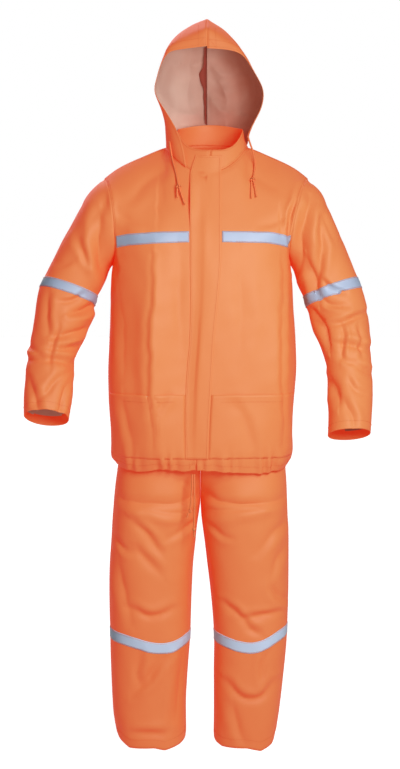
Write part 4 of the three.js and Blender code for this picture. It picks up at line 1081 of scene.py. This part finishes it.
def rest_on(obj, supports, clear):
    """Lays a layer just outside the shells that carry it."""
    target = carrier(supports)
    modifier = obj.modifiers.new("rest", "SHRINKWRAP")
    modifier.target = target
    modifier.wrap_method = "NEAREST_SURFACEPOINT"
    modifier.wrap_mode = "ABOVE_SURFACE" if len(supports) < MANY_SUPPORTS else "OUTSIDE_SURFACE"
    modifier.offset = clear * MM
    apply_modifier(obj, modifier)
    bpy.data.objects.remove(target)


def sag(obj, name):
    """Lets a tape hang from its straight line."""
    if name in TAPE_SAGS:
        points = positions(obj.data)
        steps = list(zip(*TAPE_SAGS[name]))
        nearby = [np.interp(points[:, 0] / MM + shift, *steps) for shift in SAG_SPREAD]
        points[:, 2] += np.mean(nearby, axis=0) * MM
        set_positions(obj.data, points)


def ease(obj, rounds):
    """Evens a layer out where it bridges the gaps below it."""
    modifier = obj.modifiers.new("ease", "SMOOTH")
    modifier.iterations = rounds
    modifier.factor = EASE_FACTOR
    modifier.use_x = False
    modifier.use_z = False
    apply_modifier(obj, modifier)


def open_edge(obj, edge, width, height, reach, lift):
    """Lifts the flap's free edge off the chest around one height."""
    points = positions(obj.data)
    near = np.clip(1 - (points[:, 0] / MM - edge) / width, 0, 1) ** LIFT_POWER
    span = np.exp(-((points[:, 2] / MM - height) / reach) ** 2)
    points[:, 1] -= near * span * lift * MM
    set_positions(obj.data, points)


def sink_edges(obj, mouth):
    """Beds a pocket's sewn edges into the front, all but its mouth."""
    points = positions(obj.data)
    normals = vertex_normals(obj.data)
    height = mouth[0] - POCKET_MOUTH_BAND
    sewn = [v for loop in boundary_loops(obj.data) for v in loop if points[v, 2] < height * MM]
    tree = KDTree(len(sewn))
    for k, v in enumerate(sewn):
        tree.insert(points[v], k)
    tree.balance()
    away = np.array([tree.find(point)[2] for point in points]) / (POCKET_BED * MM)
    depth = np.clip(1 - away, 0, 1) * POCKET_SINK * MM
    set_positions(obj.data, points - normals * depth[:, None])


def open_mouth(obj, mouth):
    """Lifts a pocket's upper edge off the front in a few places."""
    height, reach, lifts = mouth
    points = positions(obj.data)
    normals = vertex_normals(obj.data)
    near = np.clip(1 - (height - points[:, 2] / MM) / reach, 0, 1) ** LIFT_POWER
    rise = np.zeros(len(points))
    for x, width, lift in lifts:
        rise += lift * np.exp(-((points[:, 0] / MM - x) / width) ** 2)
    set_positions(obj.data, points + normals * (near * rise * MM)[:, None])


def dense_edges(names):
    """Points along the open edges of panels, set close together."""
    found = []
    for name in names:
        mesh = bpy.data.objects["looks_" + name].data
        points = positions(mesh)
        for loop in boundary_loops(mesh):
            here = points[loop]
            ahead = np.roll(here, -1, axis=0)
            found += [here + (ahead - here) * step / EDGE_STEPS for step in range(EDGE_STEPS)]
    return np.vstack(found)


def close_seam(name, others):
    """Draws a panel's edge onto the edges of the panels that it is sewn to."""
    obj = bpy.data.objects["looks_" + name]
    points = positions(obj.data)
    edges = dense_edges(others)
    target = KDTree(len(edges))
    for k, point in enumerate(edges):
        target.insert(point, k)
    target.balance()
    pulled, pulls = [], []
    for v in (v for loop in boundary_loops(obj.data) for v in loop):
        nearest, _, distance = target.find(points[v])
        if distance < SEAM_CLOSE * MM:
            pulled.append(points[v].copy())
            pulls.append(np.array(nearest) - points[v])
    tree = KDTree(len(pulled))
    for k, point in enumerate(pulled):
        tree.insert(point, k)
    tree.balance()
    for v, point in enumerate(points.copy()):
        _, k, distance = tree.find(point)
        points[v] += pulls[k] * max(0, 1 - distance / (SEAM_CLOSE_REACH * MM))
    set_positions(obj.data, points)


class SUIT_OT_shells(bpy.types.Operator):
    """Builds the cloth panels as thin creased shells"""
    bl_idname = "suit.shells"
    bl_label = "Build cloth panels"

    def execute(self, context):
        for name, levels in SHELLS.items():
            make_shell(name, levels)
        for name, others in SEWN_TO.items():
            close_seam(name, others)
        return {"FINISHED"}


class SUIT_OT_layers(bpy.types.Operator):
    """Builds the flap, pockets and tapes on the panels"""
    bl_idname = "suit.layers"
    bl_label = "Build layers and tapes"

    def execute(self, context):
        for name, (levels, supports) in LAYERS.items():
            obj = copy_node(name)
            outer_skin(obj, False)
            subdivide(obj, levels)
            sag(obj, name)
            rest_on(obj, supports, TAPE_CLEAR)
            if name in POCKET_MOUTHS:
                sink_edges(obj, POCKET_MOUTHS[name])
                open_mouth(obj, POCKET_MOUTHS[name])
            if name == "storm_flap":
                ease(obj, FLAP_EASE)
                open_edge(obj, *FLAP_GAPE)
            if name.startswith("tape_leg"):
                obj.data.materials.append(material("silver_tape_legs", leg_tape))
            elif name.startswith("tape"):
                obj.data.materials.append(material("silver_tape", jacket_tape))
            else:
                obj.data.materials.append(material("coated_orange", cloth_outer))
                obj.data.materials.append(material("pale_inside", cloth_inner))
        return {"FINISHED"}


class SUIT_OT_thickness(bpy.types.Operator):
    """Gives all cloth its thickness, and the turned hems their colour"""
    bl_idname = "suit.thickness"
    bl_label = "Thicken the cloth"

    def execute(self, context):
        for name in (*SHELLS, *LAYERS):
            obj = bpy.data.objects["looks_" + name]
            tape = name.startswith("tape")
            lined = not tape and name not in ORANGE_INSIDE
            thicken(obj, TAPE_THICKNESS if tape else looks().cloth_thickness, lined)
            turn_hems(obj, name)
            finish_piece(obj, name + "_cloth", [name])
        return {"FINISHED"}


def tube(name, route, diameter):
    """A round cord along a route, as a curve object."""
    bpy.ops.curve.primitive_nurbs_path_add(location=(0, 0, 0))
    obj = bpy.context.object
    obj.name = name
    curve = obj.data
    curve.splines.clear()
    spline = curve.splines.new("NURBS")
    spline.points.add(len(route) - 1)
    for target, place in zip(spline.points, route):
        target.co = (*(v * MM for v in place), 1)
        # a curve's box reaches out by its points' radius, so each holds the cord's own in metres
        target.radius = diameter / 2 * MM
    spline.order_u = 3
    spline.use_endpoint_u = True
    spline.resolution_u = CORD_STEPS
    curve.bevel_depth = 1
    curve.bevel_resolution = CORD_ROUNDING
    curve.use_fill_caps = True
    curve.materials.clear()
    curve.materials.append(material("braided_cord", cord_material))
    return obj


def line_length(obj):
    """Length of a curve object's own centre line."""
    bevel = obj.data.bevel_depth
    obj.data.bevel_depth = 0
    mesh = obj.to_mesh()
    points = positions(mesh)
    length = float(np.linalg.norm(np.diff(points, axis=0), axis=1).sum())
    obj.to_mesh_clear()
    obj.data.bevel_depth = bevel
    return length


def knot_route(centre, width, height):
    """An overhand knot drawn tight around its centre."""
    route = []
    for k in range(KNOT_STEPS + 1):
        t = 2 * math.pi * k / KNOT_STEPS
        reach = (2 + math.cos(3 * t)) / 3
        x = reach * math.cos(2 * t)
        z = reach * math.sin(2 * t)
        y = math.sin(3 * t)
        route.append((
            centre[0] + x * (width / 2 - KNOT_CORD / 2),
            centre[1] + y * (width / 2 - KNOT_DEPTH_INSET),
            centre[2] + z * (height / 2 - KNOT_CORD / 2),
        ))
    return route


def inset_path(obj, loop, inset):
    """A boundary loop moved into its skin by an inset and laid just off its face."""
    every, every_normal = positions(obj.data), vertex_normals(obj.data)
    points, normals = every[loop], every_normal[loop]
    ahead = np.roll(points, -2, axis=0) - np.roll(points, 2, axis=0)
    inward = np.cross(normals, ahead)
    inward /= np.maximum(np.linalg.norm(inward, axis=1), 1e-9)[:, None]
    tree = KDTree(len(every))
    for k, point in enumerate(every):
        tree.insert(point, k)
    tree.balance()
    both = []
    for side in (1, -1):
        moved = points + inward * side * inset * MM
        both.append((sum(tree.find(point)[2] for point in moved), moved))
    moved = min(both, key=lambda pair: pair[0])[1]
    seated = []
    for point in moved:
        _, k, _ = tree.find(point)
        lift = STITCH_RADIUS * MM - (point - every[k]) @ every_normal[k]
        seated.append(point + every_normal[k] * lift)
    return np.array(seated)


def runs_in(points, box):
    """The runs of a closed path that lie in a box of (x, x), (y, y) and (z, z) in millimetres."""
    inside = np.ones(len(points), bool)
    for axis, (low, high) in enumerate(box):
        inside &= (points[:, axis] >= low * MM) & (points[:, axis] <= high * MM)
    if inside.all():
        return [np.vstack([points, points[:1]])]
    if not inside.any():
        return []
    start = int(np.flatnonzero(~inside)[0])
    runs = [[]]
    for k in np.roll(np.arange(len(points)), -start):
        if inside[k]:
            runs[-1].append(points[k])
        elif runs[-1]:
            runs.append([])
    return [np.array(run) for run in runs if len(run) > SHORTEST_RUN]


def line_curve(name, route):
    """A plain curve through points given in metres."""
    bpy.ops.curve.primitive_nurbs_path_add(location=(0, 0, 0))
    obj = bpy.context.object
    obj.name = name
    obj.data.splines.clear()
    spline = obj.data.splines.new("POLY")
    spline.points.add(len(route) - 1)
    for target, place in zip(spline.points, route):
        target.co = (*place, 1)
    return obj


def stitch_row(route):
    """Short threads laid end to end along one route."""
    guide = line_curve("guide", route)
    length = float(np.linalg.norm(np.diff(route, axis=0), axis=1).sum())
    bpy.ops.mesh.primitive_cylinder_add(vertices=STITCH_SIDES, radius=STITCH_RADIUS * MM,
                                        depth=looks().stitch_length * MM)
    row = bpy.context.object
    edit(row)
    bpy.ops.transform.rotate(value=math.pi / 2, orient_axis="Y", center_override=(0, 0, 0))
    bpy.ops.transform.translate(value=(looks().stitch_length * MM, 0, 0))
    leave_edit()
    repeat = row.modifiers.new("repeat", "ARRAY")
    repeat.count = max(1, int(length / (STITCH_STEP * MM)) - 1)
    repeat.use_relative_offset = False
    repeat.use_constant_offset = True
    repeat.constant_offset_displace = (STITCH_STEP * MM, 0, 0)
    apply_modifier(row, repeat)
    follow = row.modifiers.new("follow", "CURVE")
    follow.object = guide
    follow.deform_axis = "POS_X"
    apply_modifier(row, follow)
    bpy.data.objects.remove(guide)
    return row


def sew(name, piece, inset, boxes):
    """The stitches of one piece, at an inset from the parts of its edge that lie in the boxes."""
    obj = bpy.data.objects["looks_" + piece]
    rows = []
    for loop in boundary_loops(obj.data):
        if len(loop) < SHORTEST_EDGE:
            continue
        path = inset_path(obj, loop, inset)
        for box in boxes:
            rows += [stitch_row(run) for run in runs_in(path, box)]
    if not rows:
        raise RuntimeError("no edge to sew on " + piece)
    bpy.ops.object.select_all(action="DESELECT")
    for row in rows:
        row.select_set(True)
    bpy.context.view_layer.objects.active = rows[0]
    if len(rows) > 1:
        bpy.ops.object.join()
    joined = bpy.context.object
    joined.name = name
    joined.data.materials.clear()
    joined.data.materials.append(material("thread", thread_material))
    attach(joined, "root")
    return joined


class SUIT_OT_sewing(bpy.types.Operator):
    """Sews the rows of stitches along the panels' edges"""
    bl_idname = "suit.sewing"
    bl_label = "Sew the edges"

    def execute(self, context):
        for name, (piece, inset, boxes) in STITCHES.items():
            sew(name, piece, inset, boxes)
        return {"FINISHED"}


def hood_seam():
    """The centre seam's turned edges, which stand up inside the hood."""
    obj = bpy.data.objects["looks_hood_left"]
    every, every_normal = positions(obj.data), vertex_normals(obj.data)
    loop = max(boundary_loops(obj.data), key=len)
    low, high = (v * MM for v in SEAM_ALLOWANCE_SPAN)
    chosen = [v for v in loop
              if low < every[v, 2] < high and abs(every[v, 0]) < CROWN_REACH * MM and every[v, 1] > 0]
    chosen.sort(key=lambda v: -every[v, 2])
    bpy.ops.mesh.primitive_grid_add(x_subdivisions=1, y_subdivisions=len(chosen) - 1, size=1)
    strip = bpy.context.object
    strip.name = "hood_seam_allowance"
    points = positions(strip.data)
    order = np.lexsort((points[:, 0], points[:, 1]))
    placed = points.copy()
    for k, v in enumerate(chosen):
        base = every[v] - every_normal[v] * looks().cloth_thickness * MM
        tip = base - every_normal[v] * SEAM_ALLOWANCE * MM
        tip[0] -= np.interp(every[v, 2] / MM, *zip(*SEAM_ALLOWANCE_LEAN)) * MM
        placed[order[2 * k]] = base
        placed[order[2 * k + 1]] = tip
    set_positions(strip.data, placed)
    strip.data.materials.append(material("turned_edge", seam_material))
    thicken(strip, looks().cloth_thickness, False)
    smooth(strip)
    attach(strip, "root")


def eyelet():
    """The sewn eyelet where the right hood cord comes out."""
    place, turn, radius, thickness = EYELET
    bpy.ops.mesh.primitive_torus_add(major_radius=radius * MM, minor_radius=thickness * MM,
                                     major_segments=ROUND_SEGMENTS, minor_segments=EYELET_SIDES)
    ring = bpy.context.object
    ring.name = "hood_eyelet"
    edit(ring)
    bpy.ops.transform.rotate(value=math.radians(turn[0]), orient_axis="X", center_override=(0, 0, 0))
    bpy.ops.transform.rotate(value=math.radians(turn[1]), orient_axis="Z", center_override=(0, 0, 0))
    bpy.ops.transform.translate(value=[v * MM for v in place])
    leave_edit()
    ring.data.materials.append(material("thread", thread_material))
    smooth(ring)
    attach(ring, "root")


class SUIT_OT_details(bpy.types.Operator):
    """Adds the hood's inner seam edges and its eyelet"""
    bl_idname = "suit.details"
    bl_label = "Add hood details"

    def execute(self, context):
        hood_seam()
        eyelet()
        return {"FINISHED"}


class SUIT_OT_cords(bpy.types.Operator):
    """Lays the free ends of the drawcords with their knots and bead"""
    bl_idname = "suit.cords"
    bl_label = "Lay drawcords"

    def execute(self, context):
        made = {}
        for name, route in CORD_ROUTES.items():
            made[name] = tube(name + "_looks", route, CORD_DIAMETER)
        for name, (centre, width, height) in KNOTS.items():
            made[name] = tube(name + "_looks", knot_route(centre, width, height), KNOT_CORD)
        name, centre, width, height = BEAD
        bpy.ops.mesh.primitive_uv_sphere_add(segments=ROUND_SEGMENTS, ring_count=ROUND_RINGS, radius=1)
        bead = bpy.context.object
        bead.name = name + "_looks"
        edit(bead)
        bpy.ops.transform.resize(value=(width / 2 * MM, width / 2 * MM, height / 2 * MM))
        bpy.ops.transform.translate(value=[v * MM for v in centre])
        leave_edit()
        bead.data.materials.append(material("braided_cord", cord_material))
        smooth(bead)
        made[name] = bead
        for name, obj in made.items():
            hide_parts(name)
            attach(obj, "root")
        for name, (far_end, lay, pieces) in CORD_FACTS.items():
            obj = made[name]
            line_length(obj)
        return {"FINISHED"}


def soft_sun(name, place, strength, softness):
    """A broad even light that shines from a place towards the suit."""
    bpy.ops.object.light_add(type="SUN", location=place)
    lamp = bpy.context.object
    lamp.name = name
    lamp.data.energy = strength
    lamp.data.angle = math.radians(softness)
    lamp.rotation_euler = (Vector(AIM) - Vector(place)).to_track_quat("-Z", "Y").to_euler()


def chest_lamp(place, aim, size, strength):
    """A broad lamp in front of the jacket, whose light fades down to the legs."""
    bpy.ops.object.light_add(type="AREA", location=place)
    lamp = bpy.context.object
    lamp.name = "chest"
    lamp.data.size = size
    lamp.data.energy = strength
    lamp.rotation_euler = (Vector(aim) - Vector(place)).to_track_quat("-Z", "Y").to_euler()


def set_world(scene):
    """A white surround that shows brighter than it lights."""
    world = scene.world or bpy.data.worlds.new("World")
    scene.world = world
    world.use_nodes = True
    tree = world.node_tree
    background = tree.nodes["Background"]
    background.inputs["Color"].default_value = (1, 1, 1, 1)
    rays = tree.nodes.new("ShaderNodeLightPath")
    blend = tree.nodes.new("ShaderNodeMix")
    blend.inputs["A"].default_value = WORLD_LIGHT
    blend.inputs["B"].default_value = WORLD_SHOWN
    tree.links.new(rays.outputs["Is Camera Ray"], blend.inputs["Factor"])
    tree.links.new(blend.outputs["Result"], background.inputs["Strength"])


class SUIT_OT_stage(bpy.types.Operator):
    """Sets the floor, the soft light and the camera"""
    bl_idname = "suit.stage"
    bl_label = "Set the stage"

    def execute(self, context):
        bpy.ops.mesh.primitive_plane_add(size=FLOOR_SIZE, location=(0, 0, FLOOR_Z))
        floor = context.object
        floor.name = "floor"
        floor.data.materials.append(stage_material())
        for sun in SUNS:
            soft_sun(*sun)
        chest_lamp(*CHEST_LIGHT)
        set_world(context.scene)
        context.scene.view_settings.view_transform = "Standard"
        bpy.ops.object.camera_add(location=CAMERA_AT)
        camera = context.object
        camera.rotation_euler = (math.radians(90 - CAMERA_PITCH_DEG), 0, 0)
        camera.data.lens = CAMERA_LENS
        camera.data.shift_y = CAMERA_SHIFT
        context.scene.camera = camera
        return {"FINISHED"}


class SUIT_PT_panel(bpy.types.Panel):
    """Sidebar panel with the suit's sizes and steps"""
    bl_label = "Rain suit"
    bl_idname = "SUIT_PT_panel"
    bl_space_type = "VIEW_3D"
    bl_region_type = "UI"
    bl_category = "Rain suit"

    def draw(self, context):
        values = context.scene.suit_looks
        for name in values.bl_rna.properties.keys():
            if name not in ("rna_type", "name"):
                self.layout.prop(values, name)
        for step in STEPS:
            self.layout.operator(step.bl_idname)


STEPS = (SUIT_OT_shells, SUIT_OT_layers, SUIT_OT_sewing, SUIT_OT_details, SUIT_OT_thickness,
         SUIT_OT_cords, SUIT_OT_stage)
CLASSES = (SuitLooks, *STEPS, SUIT_PT_panel)


def register():
    """Registers the add-on's classes and its values."""
    for cls in CLASSES:
        bpy.utils.register_class(cls)
    bpy.types.Scene.suit_looks = bpy.props.PointerProperty(type=SuitLooks)


def unregister():
    """Removes the add-on's classes and its values."""
    del bpy.types.Scene.suit_looks
    for cls in reversed(CLASSES):
        bpy.utils.unregister_class(cls)


def main():
    """Builds the whole scene."""
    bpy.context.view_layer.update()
    register()
    bpy.ops.suit.shells()
    bpy.ops.suit.layers()
    bpy.ops.suit.sewing()
    bpy.ops.suit.details()
    bpy.ops.suit.thickness()
    bpy.ops.suit.cords()
    bpy.ops.suit.stage()


if __name__ == "__main__":
    main()
